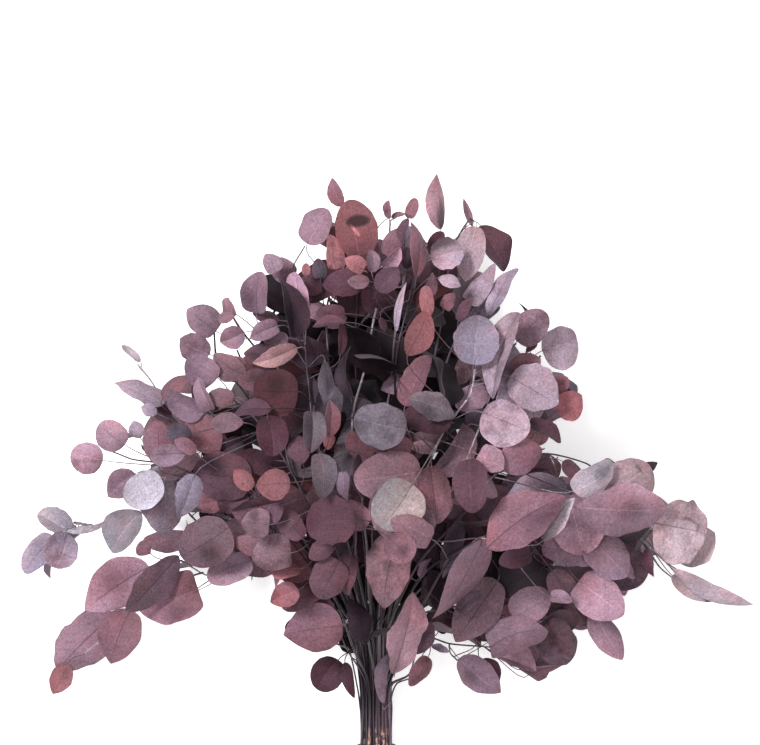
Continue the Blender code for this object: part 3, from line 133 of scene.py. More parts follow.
# The foliage's outer form
FOLIAGE_X = 5.0
FOLIAGE_Y = 250.0
FOLIAGE_WIDTHS = [
    (-13, 90), (60, 130), (110, 340), (235, 345), (300, 235), (390, 190), (440, 135), (530, 60),
]
FOLIAGE_REACH = 285.0
FOLIAGE_FULL_Y = 235.0
AXIS_LOW = 34.0
AXIS_RISE = 94.0
FRONT_LOW = 18.0
FRONT_RISE = 140.0
BACK_LOW = 16.0
BACK_RISE = 150.0
FLOOR_CLEARANCE = 1.5

# The leaves. A clearance test leaves out the blade's first part, up to BLADE_START
BLADE_THICKNESS = 1.0
BLADE_LEAST_HALF = 0.9
BLADE_START = 0.06
BLADE_START_WIDTH = 0.5
STALK_THICKNESS = 1.3
STALK_START = 0.9
STALK_LEAST = 0.5
STALK_INTO_BLADE = 0.07
ROOT_WIDTH = 1.0
ROOT_THICKNESS = 0.9
LEAF_CLEARANCE = 0.75
DEPTH_SCALE = 1.6
MAX_TURN = math.radians(50)
LOOSE_TURN = 0.2
SEEN_BENDS = (0.1, 0.5)
NARROW = 0.66
SHORT = 1.08
SETTLE_STEP = 3.0
SETTLE_STEPS = 26
SETTLE_FLOOR = 0.5

# Sections of a plain blade, as shares of its length and of its width
WIDE_BLADE = 35.0
WIDE_SECTIONS = [(0.0, 0.13), (0.2, 0.78), (0.5, 1.0), (0.8, 0.66)]
SMALL_BLADE = 330.0
SMALL_SECTIONS = [(0.0, 0.16), (0.48, 1.0)]
USUAL_SECTIONS = [(0.0, 0.12), (0.32, 0.96), (0.68, 0.82)]

# Where a blade is probed, as shares of its length and of its half width
PROBE_SHARES = (0.04, 0.25, 0.5, 0.75, 0.96)
PROBE_SIDES = (-1.0, -0.5, 0.0, 0.5, 1.0)
PROBE_WIDTH = 0.94

# How far a leaf drops behind those seen before it: margins of the search, rounds and gap
DROP_LOW = (25.0, 25.0, 320.0)
DROP_HIGH = (25.0, 25.0, 1.0)
DROP_ROUNDS = 8
DROP_GAP = 1.2

# Places for a leaf's stalk: step between them along a stem, where they begin, how far to look,
# how many to try, what rules a place out, and what makes one worse than another
ROOT_STEP = 5.0
ROOTS_FROM_Y = 18.0
ROOT_LIMIT = 60
ROOT_GAP = 2.5
STALK_REACH = 78.0
RESTING_REACH = 90.0
LEAST_AHEAD = -0.35
MOST_ASIDE = 0.93
LENGTH_COST = 1.8
AHEAD_GAIN = 0.8
BACK_COST = 26.0
BACK_FROM = 0.15
LOAD_COST = 2.4

# What is tried in turn to place a leaf: its scale, turns of its pitch and roll, and a lift
TRIES = [
    (1, 0, 0, 0), (1, 0, 0, 9), (1, 0.2, 0.2, 0), (1, -0.2, 0.2, 4), (0.95, 0, -0.25, 8),
    (0.9, -0.2, -0.2, 0), (0.82, 0.1, 0, 8), (0.74, 0, 0, 0),
]

# Stems: name, points on the way from the tie to the tip (x, y, share of the way from the
# back of the foliage to its front), and twigs given the same way
SPRAYS = [
    ("low_left", [(-62, 138, 0.55), (-105, 157, 0.55), (-150, 152, 0.5), (-176, 166, 0.5)],
     [[(-160, 148, 0.5), (-200, 140, 0.46), (-222, 122, 0.45), (-243, 98, 0.4),
       (-262, 82, 0.35)]]),
    ("far_left", [(-72, 165, 0.42), (-135, 205, 0.42), (-200, 212, 0.4), (-240, 197, 0.45),
                  (-272, 200, 0.5)], []),
    ("left_upper_ring", [(-75, 180, 0.62), (-130, 225, 0.6), (-180, 250, 0.6),
                         (-220, 257, 0.5), (-238, 264, 0.5)], []),
    ("left_inner", [(-70, 190, 0.3), (-130, 240, 0.3), (-185, 262, 0.4), (-208, 282, 0.4)], []),
    ("left_pale_stem", [(-60, 190, 0.5), (-110, 250, 0.5), (-160, 280, 0.55),
                        (-186, 302, 0.5), (-204, 330, 0.5), (-215, 343, 0.5)], []),
    ("left_high", [(-50, 190, 0.5), (-90, 270, 0.5), (-120, 320, 0.5), (-143, 345, 0.5),
                   (-146, 375, 0.5)], []),
    ("left_brown", [(-50, 190, 0.78), (-85, 262, 0.8), (-115, 300, 0.8), (-138, 315, 0.75)],
     []),
    ("left_tall", [(-40, 200, 0.35), (-75, 280, 0.35), (-100, 345, 0.4), (-122, 375, 0.5),
                   (-133, 392, 0.5)], []),
    ("grey_stem", [(-42, 190, 0.66), (-78, 250, 0.72), (-85, 300, 0.7), (-90, 350, 0.65),
                   (-98, 385, 0.6), (-102, 405, 0.55)], []),
    ("top_left", [(-30, 200, 0.5), (-60, 300, 0.5), (-78, 370, 0.5), (-84, 415, 0.5)], []),
    ("top_left_long", [(-30, 200, 0.82), (-56, 280, 0.82), (-62, 345, 0.8), (-68, 390, 0.75),
                       (-74, 430, 0.6), (-64, 449, 0.6)], []),
    ("top_twisted", [(-22, 200, 0.6), (-38, 300, 0.6), (-45, 380, 0.65), (-36, 430, 0.6),
                     (-30, 478, 0.6)], []),
    ("top_crown", [(-12, 210, 0.45), (-18, 320, 0.5), (-18, 400, 0.6), (-16, 438, 0.7)], []),
    ("light_stem", [(-12, 220, 0.75), (-21, 290, 0.66), (-9, 345, 0.6), (2, 400, 0.62),
                    (12, 445, 0.6), (13, 472, 0.6)], []),
    ("top_thin", [(-2, 210, 0.6), (12, 320, 0.58), (20, 390, 0.65), (28, 440, 0.6),
                  (29, 470, 0.6)], []),
    ("top_folded", [(8, 210, 0.6), (16, 300, 0.58), (20, 360, 0.68), (34, 415, 0.7),
                    (44, 445, 0.6), (57, 462, 0.6)], []),
    ("top_dark", [(12, 200, 0.35), (35, 300, 0.35), (52, 380, 0.4), (58, 430, 0.4)], []),
    ("top_right", [(20, 200, 0.52), (45, 300, 0.5), (58, 380, 0.5), (70, 450, 0.55),
                   (84, 474, 0.6)], []),
    ("right_greige", [(25, 210, 0.62), (50, 300, 0.55), (70, 360, 0.55), (86, 390, 0.6),
                      (100, 405, 0.6)], []),
    ("right_heart", [(20, 200, 0.74), (46, 250, 0.78), (65, 288, 0.8), (84, 315, 0.8),
                     (89, 338, 0.8)], []),
    ("right_plum", [(30, 190, 0.6), (68, 260, 0.6), (98, 312, 0.65), (110, 343, 0.6),
                    (126, 361, 0.55)], []),
    ("right_outer", [(32, 180, 0.45), (80, 250, 0.45), (120, 320, 0.5), (148, 350, 0.45)], []),
    ("right_pale_heart", [(35, 180, 0.7), (75, 240, 0.75), (96, 292, 0.75), (112, 305, 0.65),
                          (120, 325, 0.65)], []),
    ("right_red", [(35, 170, 0.35), (95, 230, 0.4), (140, 280, 0.4), (165, 303, 0.4)], []),
    ("right_arch", [(40, 165, 0.7), (85, 215, 0.75), (110, 245, 0.75), (150, 262, 0.6),
                    (190, 253, 0.55), (205, 240, 0.55)], []),
    ("right_rose", [(45, 155, 0.6), (100, 190, 0.7), (150, 218, 0.7), (182, 216, 0.7),
                    (205, 222, 0.5)], []),
    ("far_right", [(48, 148, 0.45), (110, 185, 0.5), (170, 200, 0.5), (225, 195, 0.5),
                   (250, 199, 0.5)], []),
    ("far_right_pleated", [(50, 140, 0.3), (120, 165, 0.35), (190, 190, 0.35),
                           (235, 186, 0.45), (262, 163, 0.45), (285, 150, 0.45)],
     [[(240, 182, 0.45), (255, 160, 0.4), (270, 148, 0.4)]]),
    ("low_right_rose", [(45, 125, 0.5), (95, 145, 0.5), (150, 158, 0.45), (185, 148, 0.45),
                        (200, 130, 0.4)], []),
    ("low_right_folded", [(42, 118, 0.62), (85, 125, 0.66), (118, 115, 0.66),
                          (150, 112, 0.6)], []),
    ("low_right_wiry", [(45, 97, 0.6), (66, 91, 0.66), (102, 88, 0.66)],
     [[(66, 91, 0.66), (67, 82, 0.62), (73, 76, 0.6)]]),
    ("front_right", [(17, 84, 0.6), (38, 120, 0.72), (70, 170, 0.82), (94, 186, 0.92)], []),
    ("front_small", [(26, 68, 0.46), (35, 82, 0.54), (47, 94, 0.56)], []),
    ("front_centre", [(3, 100, 0.62), (6, 150, 0.78), (14, 196, 0.84), (30, 235, 0.8),
                      (36, 262, 0.75)], []),
    ("front_left", [(-20, 86, 0.62), (-30, 115, 0.68), (-45, 150, 0.7), (-70, 190, 0.75),
                    (-95, 200, 0.8), (-110, 225, 0.75)], []),
    ("front_slate", [(-8, 100, 0.66), (-20, 150, 0.78), (-20, 200, 0.85), (-45, 240, 0.85),
                     (-52, 264, 0.85)], []),
    ("front_low_left", [(-30, 120, 0.6), (-55, 165, 0.7), (-80, 190, 0.7), (-100, 180, 0.7),
                        (-112, 168, 0.6)], []),
    ("under_left", [(-50, 120, 0.12), (-110, 170, 0.08), (-160, 200, 0.1), (-190, 235, 0.2)],
     []),
    ("under_upper_left", [(-30, 150, 0.08), (-75, 240, 0.06), (-110, 320, 0.08),
                          (-125, 355, 0.2)], []),
    ("under_middle", [(-5, 160, 0.06), (-15, 270, 0.05), (-30, 370, 0.08), (-35, 440, 0.25)],
     []),
    ("under_top", [(15, 150, 0.1), (40, 260, 0.06), (55, 360, 0.08), (60, 430, 0.2)], []),
    ("under_upper_right", [(40, 130, 0.1), (90, 210, 0.06), (125, 290, 0.08),
                           (140, 340, 0.2)], []),
    ("under_right", [(50, 110, 0.15), (120, 150, 0.08), (185, 185, 0.12), (225, 215, 0.25)],
     []),
]

# Leaves that lie flat under the bunch: tone, base x, y, tip x, y and width
RESTING_LEAVES = [
    ("plum", 2, 214, -4, 262, 40),
    ("plum", -84, 214, -112, 248, 38),
    ("slate", 92, 196, 126, 232, 38),
    ("plum", -18, 318, -22, 362, 36),
    ("maroon", -134, 182, -168, 206, 34),
    ("maroon", 150, 166, 190, 176, 34),
    ("slate", 64, 330, 84, 370, 34),
    ("plum", -84, 300, -112, 330, 34),
]

# Leaves as seen: tone, base x, y, tip x, y, width, depth below the front, and a form for some
ROW_WIDTH = 5
ROW_DEPTH = 6
ROW_FORM = 7
LEAVES = [
    # Low left spray
    ("dusk", -178, 169, -222, 122, 30, 0, "lemon"),
    ("rose", -160, 139, -212, 122, 44, 6, "heart"),
    ("rose", -221, 121, -238, 75, 38, 8, "point"),
    ("blush", -205, 160, -259, 123, 42, 14, "point"),
    ("dusty", -235, 118, -285, 68, 42, 20, "heart"),
    ("salmon", -278, 72, -290, 47, 20, 6),
    # Far left spray
    ("lilac", -280, 190, -290, 160, 30, 0),
    ("pale", -275, 193, -303, 209, 20, 4),
    ("ash", -213, 210, -238, 174, 32, 4),
    ("lilac", -290, 187, -316, 157, 24, 8),
    ("frost", -277, 192, -242, 196, 8, 3),
    # Left ring of round leaves
    ("silver", -193, 240, -226, 220, 32, 0, "round"),
    ("lilac", -190, 238, -191, 190, 38, 6, "heart"),
    ("dusty", -246, 256, -274, 262, 28, 6, "round"),
    ("dusty", -226, 270, -249, 288, 27, 6, "round"),
    ("dusty", -217, 244, -240, 224, 26, 14),
    ("haze", -163, 243, -176, 205, 22, 2),
    ("blush", -203, 172, -213, 182, 14, 16),
    ("blush", -172, 188, -208, 184, 20, 22),
    ("mulberry", -132, 196, -174, 170, 44, 4, "round"),
    ("dusty", -112, 165, -150, 150, 26, 10),
    ("mauve", -172, 262, -202, 260, 20, 4),
    ("lilac", -212, 276, -218, 291, 14, 10),
    ("rose", -196, 252, -198, 290, 24, 12),
    ("ink", -166, 280, -188, 278, 18, 6),
    ("rose", -163, 262, -180, 275, 12, 2),
    ("blush", -160, 262, -195, 238, 18, 10),
    # Sprig above the left ring
    ("lilac", -190, 308, -234, 330, 17, 4),
    ("pale", -212, 345, -227, 360, 9, 4),
    ("lilac", -197, 298, -211, 304, 12, 12),
    ("brown", -192, 312, -170, 333, 15, 8),
    ("mauve", -155, 298, -188, 316, 22, 4),
    ("mauve", -150, 300, -163, 327, 15, 2),
    ("brown", -142, 262, -168, 292, 30, 8),
    ("dark", -120, 273, -142, 262, 17, 8),
    # Upper left
    ("dusk", -119, 290, -148, 291, 18, 0),
    ("dusk", -128, 312, -151, 314, 18, 4),
    ("plum", -94, 303, -129, 300, 15, 2),
    ("plum", -95, 330, -131, 325, 26, 5),
    ("dusk", -117, 332, -145, 350, 24, 9),
    ("brown", -117, 346, -140, 336, 18, 14),
    ("mauve", -143, 330, -169, 347, 28, 4),
    ("mauve", -144, 372, -170, 392, 28, 6),
    ("mauve", -150, 352, -177, 366, 25, 10),
    ("mauve", -128, 388, -143, 391, 24, 8),
    ("dusty", -119, 371, -140, 362, 21, 6),
    ("mauve", -108, 388, -104, 424, 25, 4),
    ("lilac", -90, 425, -99, 441, 17, 8),
    ("dusty", -83, 416, -85, 438, 22, 8),
    ("mauve", -88, 377, -112, 366, 17, 0),
    ("plum", -87, 382, -110, 388, 12, 4),
    ("mauve", -80, 362, -101, 370, 18, 4),
    ("dark", -41, 350, -80, 362, 28, 6),
    ("copper", -71, 357, -109, 342, 16, 0),
    ("plum", -90, 351, -118, 352, 18, 10),
    ("wine", -70, 318, -109, 320, 42, 2, "round"),
    # Slate and rose leaves left of the opening
    ("grey", -56, 300, -58, 264, 20, 0),
    ("grey", -51, 262, -50, 223, 22, 0),
    ("grey", -46, 346, -43, 307, 13, 2),
    ("rose", -42, 278, -40, 310, 14, 0),
    ("salmon", -40, 279, -44, 266, 10, 2),
    ("maroon", -98, 296, -93, 261, 28, 0),
    ("plum", -66, 253, -70, 277, 20, 6),
    ("dark", -70, 300, -60, 332, 26, 18),
    # Lower left of the foliage
    ("plum", -112, 238, -164, 246, 44, 3, "round"),
    ("rose", -138, 222, -161, 216, 22, 10),
    ("brick", -112, 230, -127, 247, 16, 0),
    ("plum", -114, 222, -142, 216, 20, 8),
    ("dusk", -96, 198, -120, 200, 26, 0),
    ("plum", -84, 216, -128, 207, 26, 4),
    ("mauve", -90, 190, -119, 183, 22, 5),
    ("brick", -77, 236, -107, 233, 28, 0),
    ("maroon", -95, 250, -124, 262, 22, 6),
    ("rose", -106, 172, -127, 184, 18, 4),
    ("dusk", -76, 173, -111, 168, 32, 2),
    ("red", -70, 139, -94, 129, 22, 2),
    ("red", -68, 158, -92, 153, 11, 6),
    ("plum", -33, 166, -52, 134, 32, 0),
    ("plum", -22, 172, -30, 136, 17, 3),
    ("maroon", -19, 202, -62, 198, 42, 0),
    ("rose", -7, 198, -45, 222, 32, 8),
    ("plum", -40, 182, -59, 168, 18, 10),
    ("plum", -66, 186, -88, 212, 22, 16),
    # Centre
    ("dusk", 48, 186, 0, 226, 47, 0, "round"),
    ("dusk", 41, 246, -18, 238, 45, 8, "round"),
    ("dusk", 22, 195, 6, 126, 38, 4, "point"),
    ("brown", 50, 251, 57, 200, 30, 2, "round"),
    ("grey", 27, 283, -18, 294, 40, 3, "round"),
    ("brown", 33, 270, -6, 270, 20, 8),
    ("maroon", 68, 290, 22, 298, 28, 4),
    ("blush", 55, 266, 23, 269, 15, 8),
    ("grey", 30, 312, 71, 298, 24, 0, "lemon"),
    ("brown", 26, 305, 46, 350, 21, 0),
    ("mauve", 23, 332, 6, 319, 17, 3),
    ("brick", 28, 350, 47, 388, 25, 0),
    ("salmon", 48, 384, 45, 412, 13, 1),
    ("lilac", 18, 372, 28, 414, 6, 0),
    ("maroon", 4, 384, 9, 372, 7, 10),
    ("dark", -22, 310, -28, 357, 10, 10),
    ("maroon", -32, 350, -33, 387, 7, 4),
    ("maroon", -2, 402, 19, 396, 18, 8),
    # Top
    ("brick", -15, 440, -25, 497, 44, 0, "round"),
    ("dusty", -62, 451, -45, 481, 27, 6, "round"),
    ("rose", -30, 485, -41, 509, 13, 5),
    ("salmon", -36, 428, -40, 458, 17, 0),
    ("maroon", -28, 430, -28, 452, 12, 4),
    ("salmon", -11, 428, -27, 437, 15, 0),
    ("mauve", -4, 425, -4, 445, 12, 0),
    ("rose", 10, 440, 19, 463, 17, 8),
    ("rose", 12, 474, 9, 489, 7, 4),
    ("rose", 14, 475, 26, 477, 6, 4),
    ("rose", 29, 474, 36, 493, 12, 2),
    ("plum", 28, 474, 22, 452, 9, 4),
    ("petal", 58, 464, 50, 511, 18, 2),
    ("rose", 36, 420, 37, 470, 14, 2),
    ("maroon", 47, 442, 59, 461, 14, 10),
    ("dark", 28, 428, 28, 447, 14, 14),
    ("dark", -70, 367, -75, 416, 21, 0),
    ("blush", -64, 385, -72, 424, 20, 5),
    ("maroon", -58, 404, -58, 425, 20, 8),
    ("ink", -50, 420, -52, 437, 13, 6),
    ("salmon", -63, 422, -63, 433, 8, 3),
    ("maroon", -12, 414, -47, 414, 24, 4),
    ("dusk", -6, 417, -25, 417, 13, 0),
    ("plum", -28, 388, -62, 388, 24, 3),
    ("plum", -27, 380, -56, 377, 9, 1),
    ("plum", 1, 409, 19, 429, 21, 4),
    ("blush", 5, 430, 21, 447, 11, 1),
    # Top right
    ("lilac", 50, 437, 78, 445, 28, 0),
    ("mist", 90, 466, 80, 414, 28, 2),
    ("plum", 94, 467, 118, 429, 25, 4, "lemon"),
    ("mauve", 87, 466, 81, 491, 6, 4),
    ("lilac", 56, 420, 76, 414, 12, 4),
    ("lilac", 82, 400, 107, 431, 17, 4),
    ("lilac", 100, 385, 123, 430, 15, 2),
    ("plum", 74, 382, 83, 403, 10, 2),
    ("brown", 62, 392, 71, 406, 12, 6),
    ("rose", 40, 398, 54, 423, 11, 2),
    # Right
    ("haze", 88, 342, 93, 385, 40, 0, "round"),
    ("lilac", 96, 299, 136, 282, 41, 0, "round"),
    ("lilac", 102, 312, 122, 388, 22, 2),
    ("mauve", 127, 363, 151, 389, 30, 4),
    ("lilac", 150, 355, 182, 365, 38, 6, "round"),
    ("lilac", 121, 331, 162, 307, 42, 5, "point"),
    ("brown", 120, 335, 147, 347, 26, 12),
    ("red", 157, 319, 173, 331, 15, 12),
    ("coral", 162, 300, 186, 314, 27, 8),
    ("maroon", 138, 288, 168, 276, 13, 6),
    ("ink", 81, 297, 104, 281, 27, 6),
    ("dusty", 100, 319, 70, 303, 26, 6),
    ("maroon", 122, 271, 96, 277, 15, 9),
    ("dusty", 83, 287, 60, 240, 25, 2),
    ("dark", 94, 286, 74, 258, 22, 6),
    ("dusty", 92, 261, 114, 249, 23, 3),
    ("plum", 84, 257, 88, 210, 31, 1, "round"),
    ("rose", 150, 266, 113, 252, 33, 5, "wedge"),
    ("plum", 168, 255, 184, 238, 14, 9),
    ("rose", 100, 178, 168, 222, 40, 0, "lance"),
    ("lilac", 172, 230, 110, 212, 33, 4),
    ("pale", 150, 184, 175, 223, 13, 2),
    ("dusty", 182, 214, 260, 211, 47, 0, "lemon"),
    ("blush", 172, 224, 186, 173, 49, 3, "round"),
    ("mauve", 195, 184, 236, 141, 49, 4, "heart"),
    ("mist", 205, 221, 247, 249, 44, 8, "round"),
    ("pale", 178, 228, 212, 251, 26, 5),
    ("maroon", 243, 176, 246, 152, 7, 7),
    ("dusty", 150, 179, 193, 167, 26, 12),
    # Far right
    ("shell", 250, 200, 297, 190, 57, 2, "round"),
    ("shell", 266, 159, 337, 120, 16, 4, "lance"),
    ("dark", 279, 146, 310, 128, 18, 8),
    ("pale", 267, 152, 292, 127, 9, 6),
    ("pale", 268, 170, 304, 190, 40, 12),
    # Low right
    ("dusty", 97, 188, 57, 112, 41, 0, "lemon"),
    ("dusk", 110, 147, 72, 94, 41, 6),
    ("slate", 74, 120, 93, 136, 11, 3),
    ("blush", 183, 147, 221, 118, 38, 6, "heart"),
    ("dusty", 196, 126, 222, 80, 23, 9, "lemon"),
    ("maroon", 181, 136, 196, 104, 16, 12),
    ("dusk", 158, 157, 180, 128, 24, 8),
    ("dusty", 157, 133, 176, 130, 12, 2),
    ("mauve", 122, 116, 155, 136, 31, 2),
    ("mauve", 102, 88, 152, 104, 29, 0),
    ("blush", 107, 83, 143, 68, 17, 5),
    ("mulberry", 152, 111, 171, 71, 35, 4),
    ("brown", 133, 67, 168, 72, 10, 8),
    ("night", 151, 160, 112, 138, 46, 14),
    ("maroon", 140, 172, 112, 164, 20, 12),
    ("mauve", 75, 77, 110, 48, 27, 2, "point"),
    ("maroon", 94, 76, 112, 52, 13, 4),
    ("lilac", 50, 89, 65, 83, 6, 20),
    # Round the lower stems
    ("rose", -30, 108, -81, 100, 45, 0, "point"),
    ("maroon", -34, 76, -52, 50, 29, 3),
    ("plum", -28, 74, -22, 43, 10, 2),
    ("blush", 17, 63, 34, 134, 31, 0, "lemon"),
    ("plum", 31, 79, 49, 109, 17, 4),
    ("brown", 47, 79, 31, 54, 14, 4),
    ("slate", 6, 36, 7, 80, 11, 4),
    ("dark", -12, 93, -20, 131, 20, 8),
    ("mauve", 39, 150, 46, 168, 7, 2),
    ("slate", 75, 205, 60, 155, 19, 6),
    ("dark", 60, 200, 48, 160, 18, 9),
    ("haze", 79, 166, 58, 154, 9, 3),
    ("slate", -30, 246, -29, 221, 13, 4),
    ("dark", -16, 262, -15, 222, 10, 8),
]

# Outline of the dense part of the foliage as seen, which leaves of the inside fill
OUTLINE = [
    (-25, 45), (-32, 105), (-62, 130), (-93, 128), (-95, 158), (-112, 152), (-150, 146),
    (-170, 172), (-128, 205), (-160, 215), (-175, 212), (-200, 195), (-200, 230), (-175, 240),
    (-190, 258), (-205, 285), (-185, 300), (-150, 292), (-128, 322), (-118, 345), (-112, 362),
    (-100, 380), (-105, 420), (-85, 425), (-75, 405), (-62, 430), (-45, 445), (-30, 440),
    (-10, 450), (5, 445), (25, 462), (45, 462), (60, 445), (75, 440), (80, 415), (100, 420),
    (105, 385), (120, 345), (150, 340), (158, 315), (140, 290), (148, 272), (170, 250),
    (205, 250), (255, 222), (290, 215), (300, 190), (268, 165), (246, 180), (245, 150),
    (225, 140), (222, 118), (195, 105), (178, 105), (170, 75), (140, 66), (110, 75),
    (103, 95), (122, 112), (108, 125), (98, 105), (75, 95), (60, 105), (45, 105), (38, 80),
    (20, 60), (15, 40),
]

# Leaves of the inside, back and underside
FILLER_SPACING = 15.0
FILLER_SPIRAL = 2.4
FILLER_FROM_Y = 60.0
FILLER_LIMIT = 138
FILLER_ROOM = 12.0
FILLER_FLOOR = 1.2
FILLER_TURNS = 6
FILLER_TURN = 1.05
FILLER_REACH = 40.0
FILLER_ROOTS = 12
GAP_SHARE = 0.28
FILLER_LENGTHS = (38.0, 58.0)
FILLER_WIDTHS = (0.72, 0.95)
FILLER_LEANS = (0.75, 1.2)
FILLER_STALKS = (9, 16)
FILLER_TILT = 0.9
FILLER_BENDS = (0.1, 0.4)

# Tones drawn for them as in the imported model, the first, mostly dark as painted shade of the
# inside, between these depths. They keep the order of the draws, and local_tone gives the tone
# that shows
INNER_DEPTHS = (0.3, 0.8)
INNER_TONES = ("dark", "maroon", "dark", "slate")
OUTER_TONES = ("plum", "maroon", "slate", "mauve", "brown", "rose")

# Size of a cell of the view, in which covered places are counted, and how finely a leaf is
# divided to find its cells
CELL = 4.0
CELL_ROWS = 12
CELL_SIDES = 6

# Tones of the leaves, in linear colour. Matched to each leaf as it looks where it lies, they hold
# painted shade for leaves in shadow and painted light for leaves in the light, beside the leaves'
# own colours
TONES = {
    "plum": (0.088, 0.043, 0.06), "rose": (0.18, 0.09, 0.117), "salmon": (0.225, 0.1, 0.117),
    "red": (0.225, 0.095, 0.115), "mauve": (0.182, 0.112, 0.148), "dusty": (0.25, 0.152, 0.197),
    "lilac": (0.27, 0.205, 0.262), "pale": (0.345, 0.29, 0.335), "slate": (0.11, 0.073, 0.1),
    "grey": (0.112, 0.088, 0.108), "maroon": (0.066, 0.028, 0.041), "brown": (0.148, 0.071, 0.09),
    "dark": (0.037, 0.021, 0.031), "brick": (0.155, 0.06, 0.07), "dusk": (0.14, 0.08, 0.102),
    "pearl": (0.26, 0.217, 0.222), "haze": (0.195, 0.155, 0.205), "ink": (0.06, 0.045, 0.064),
    "blush": (0.35, 0.205, 0.262), "coral": (0.3, 0.105, 0.12), "shell": (0.45, 0.34, 0.39),
    "night": (0.02, 0.012, 0.018), "frost": (0.5, 0.45, 0.5), "petal": (0.42, 0.25, 0.3),
    "mist": (0.3, 0.215, 0.25), "silver": (0.31, 0.28, 0.335), "copper": (0.42, 0.24, 0.25),
    "wine": (0.066, 0.022, 0.03), "ash": (0.21, 0.185, 0.215), "mulberry": (0.105, 0.062, 0.078),
}

# Leaves that only this script adds: behind bare places of the view, then all over the inside
GAP_LEAF_LENGTHS = (32.0, 52.0)
GAP_LEAF_WIDTHS = (0.7, 1.0)
GAP_LEAF_DEPTHS = (3.0, 40.0)
GAP_LEAF_WAY = 1.1
GAP_LEAF_SLIDE = 0.6
GAP_LEAF_PITCH = 0.35
GAP_LEAF_ROLL = 0.45
GAP_LEAF_INSIDE = 0.93
GAP_LEAF_TRIES = 5
BACKING_DEPTHS = (40.0, 150.0)
BACKING_SHARE = 0.8
EXTRA_LEAVES = 330
EXTRA_SHARES = (0.2, 0.08, 0.0)
EXTRA_ROOM = 4.0

# Boxes of the view (left, low, right, high): the dark opening, and those that stay bare
OPENING = (-42, 292, 76, 398)
BARE_STEMS = (-32, -40, 36, 134)
BARE_BUNDLE = (-32, -40, 36, 76)
BARE_RIGHT = (252, 212, 296, 232)

# The tone of a leaf of the inside: how many leaves near it are drawn from, how wide they are at
# least, and how light it is beside them and in the opening, kept darker as painted shade of the
# inside
NEAR_TONES = 4
TONE_WIDTH = 17
INNER_SHADE_LEVELS = (0.65, 1.0)
OPENING_SHADE_LEVELS = (0.15, 0.42)

# How a leaf is let down in front of the others: first height over the front, steps, and how
# far and how often to look for its root
FRONT_START = 42.0
FRONT_STEP = 1.5
FRONT_STEPS = 40
FRONT_REACH = 120.0
FRONT_LIMIT = 400
FRONT_TURNS = 12

# Leaves that only this script adds in front of the others, as in LEAVES
FRONT_LEAVES = [
    ("pearl", 38, 202, 0, 229, 46, 0, "round"),
    ("dusk", 50, 185, 15, 203, 25, 0, "heart"),
    ("rose", 39, 187, 11, 160, 37, 0, "round"),
]

# Leaves that it adds behind them where the view shows them, among them dark leaves set where the
# view shows only deep shadow under and between leaves
BEHIND_LEAVES = [
    ("dark", -244, 104, -250, 80, 8, 8, "lemon"),
    ("plum", -184, 134, -200, 152, 16, 10, "round"),
    ("dark", 232, 240, 252, 254, 10, 10, "lemon"),
    ("plum", 192, 228, 206, 243, 12, 8, "lemon"),
    ("dark", 150, 170, 192, 176, 14, 14, "lemon"),
    ("pale", 152, 164, 192, 166, 10, 10, "lemon"),
    ("dark", 203, 186, 246, 192, 12, 16, "lemon"),
    ("dark", -157, 302, -166, 325, 8, 6, "lemon"),
    ("plum", -183, 298, -202, 304, 18, 8, "round"),
    ("mauve", -152, 290, -182, 297, 18, 6, "point"),
    ("mauve", -136, 264, -143, 285, 14, 9, "round"),
    ("plum", -160, 262, -178, 244, 12, 6, "lemon"),
    ("dark", 28, 118, 44, 152, 24, 50, "round"),
    ("dark", 10, 150, 2, 186, 26, 50, "round"),
    ("dark", -16, 130, -14, 170, 26, 50, "round"),
    ("dark", 62, 120, 50, 156, 20, 30, "round"),
]

# Outlines: where the blade is widest, how round its base and tip are, lobes at the base
FORMS = {
    "round": (0.93, 0.46, 0.47, 0.05), "point": (0.86, 0.45, 0.76, 0.0),
    "heart": (0.85, 0.4, 0.62, 0.12), "lemon": (0.97, 0.64, 0.74, 0.0),
    "wedge": (1.1, 0.62, 0.45, 0.0), "lance": (0.92, 0.6, 0.84, 0.0),
}
USUAL_FORMS = ("round", "round", "round", "point", "point", "heart", "heart", "lemon", "wedge")
NARROW_FORMS = ("lance", "lemon", "point", "wedge")
NARROW_SHARE = 0.6
OUTLINE_PARTS = ("low", "base_round", "tip_round", "heart")

# Ranges of what makes up a leaf's form, in the order of the draws. Those of the outline change
# the form's own, the wave is a share of the half width, and leaves with a form are calmer
ROUND_TRIP = (0, 6.28)
FORM_RANGES = {
    "low": (0.95, 1.05), "base_round": (0.92, 1.1), "tip_round": (0.88, 1.1),
    "heart": (0.7, 1.2), "cup": (-0.24, 0.28), "wave": (0.04, 0.14), "beat": (0.7, 1.9),
    "left_phase": ROUND_TRIP, "right_phase": ROUND_TRIP, "curl": (-0.22, 0.12),
    "twist": (-0.5, 0.5), "sway": (-0.07, 0.07), "lean": (-0.12, 0.12), "nicks": (0.01, 0.05),
    # The fade makes one end or side lighter and the other darker, partly the leaf's own colour and
    # partly painted shading; the last range darkens the base as painted shade, where it lies
    # deeper in the bunch
    "nick_beat": (2.0, 5.0), "fade": (0.04, 0.26), "fade_way": ROUND_TRIP,
    "fade_warm": (-0.05, 0.05), "base_shade": (0.0, 0.4),
}
CALMED_PARTS = ("fold", "cup", "curl", "twist", "sway")
CALM = 0.55
FOLDS = (-0.1, 0.26)
FOLDED_SHARE = 0.3
SHARP_FOLDS = (0.3, 0.7)
FOLD_REACH = 9.0
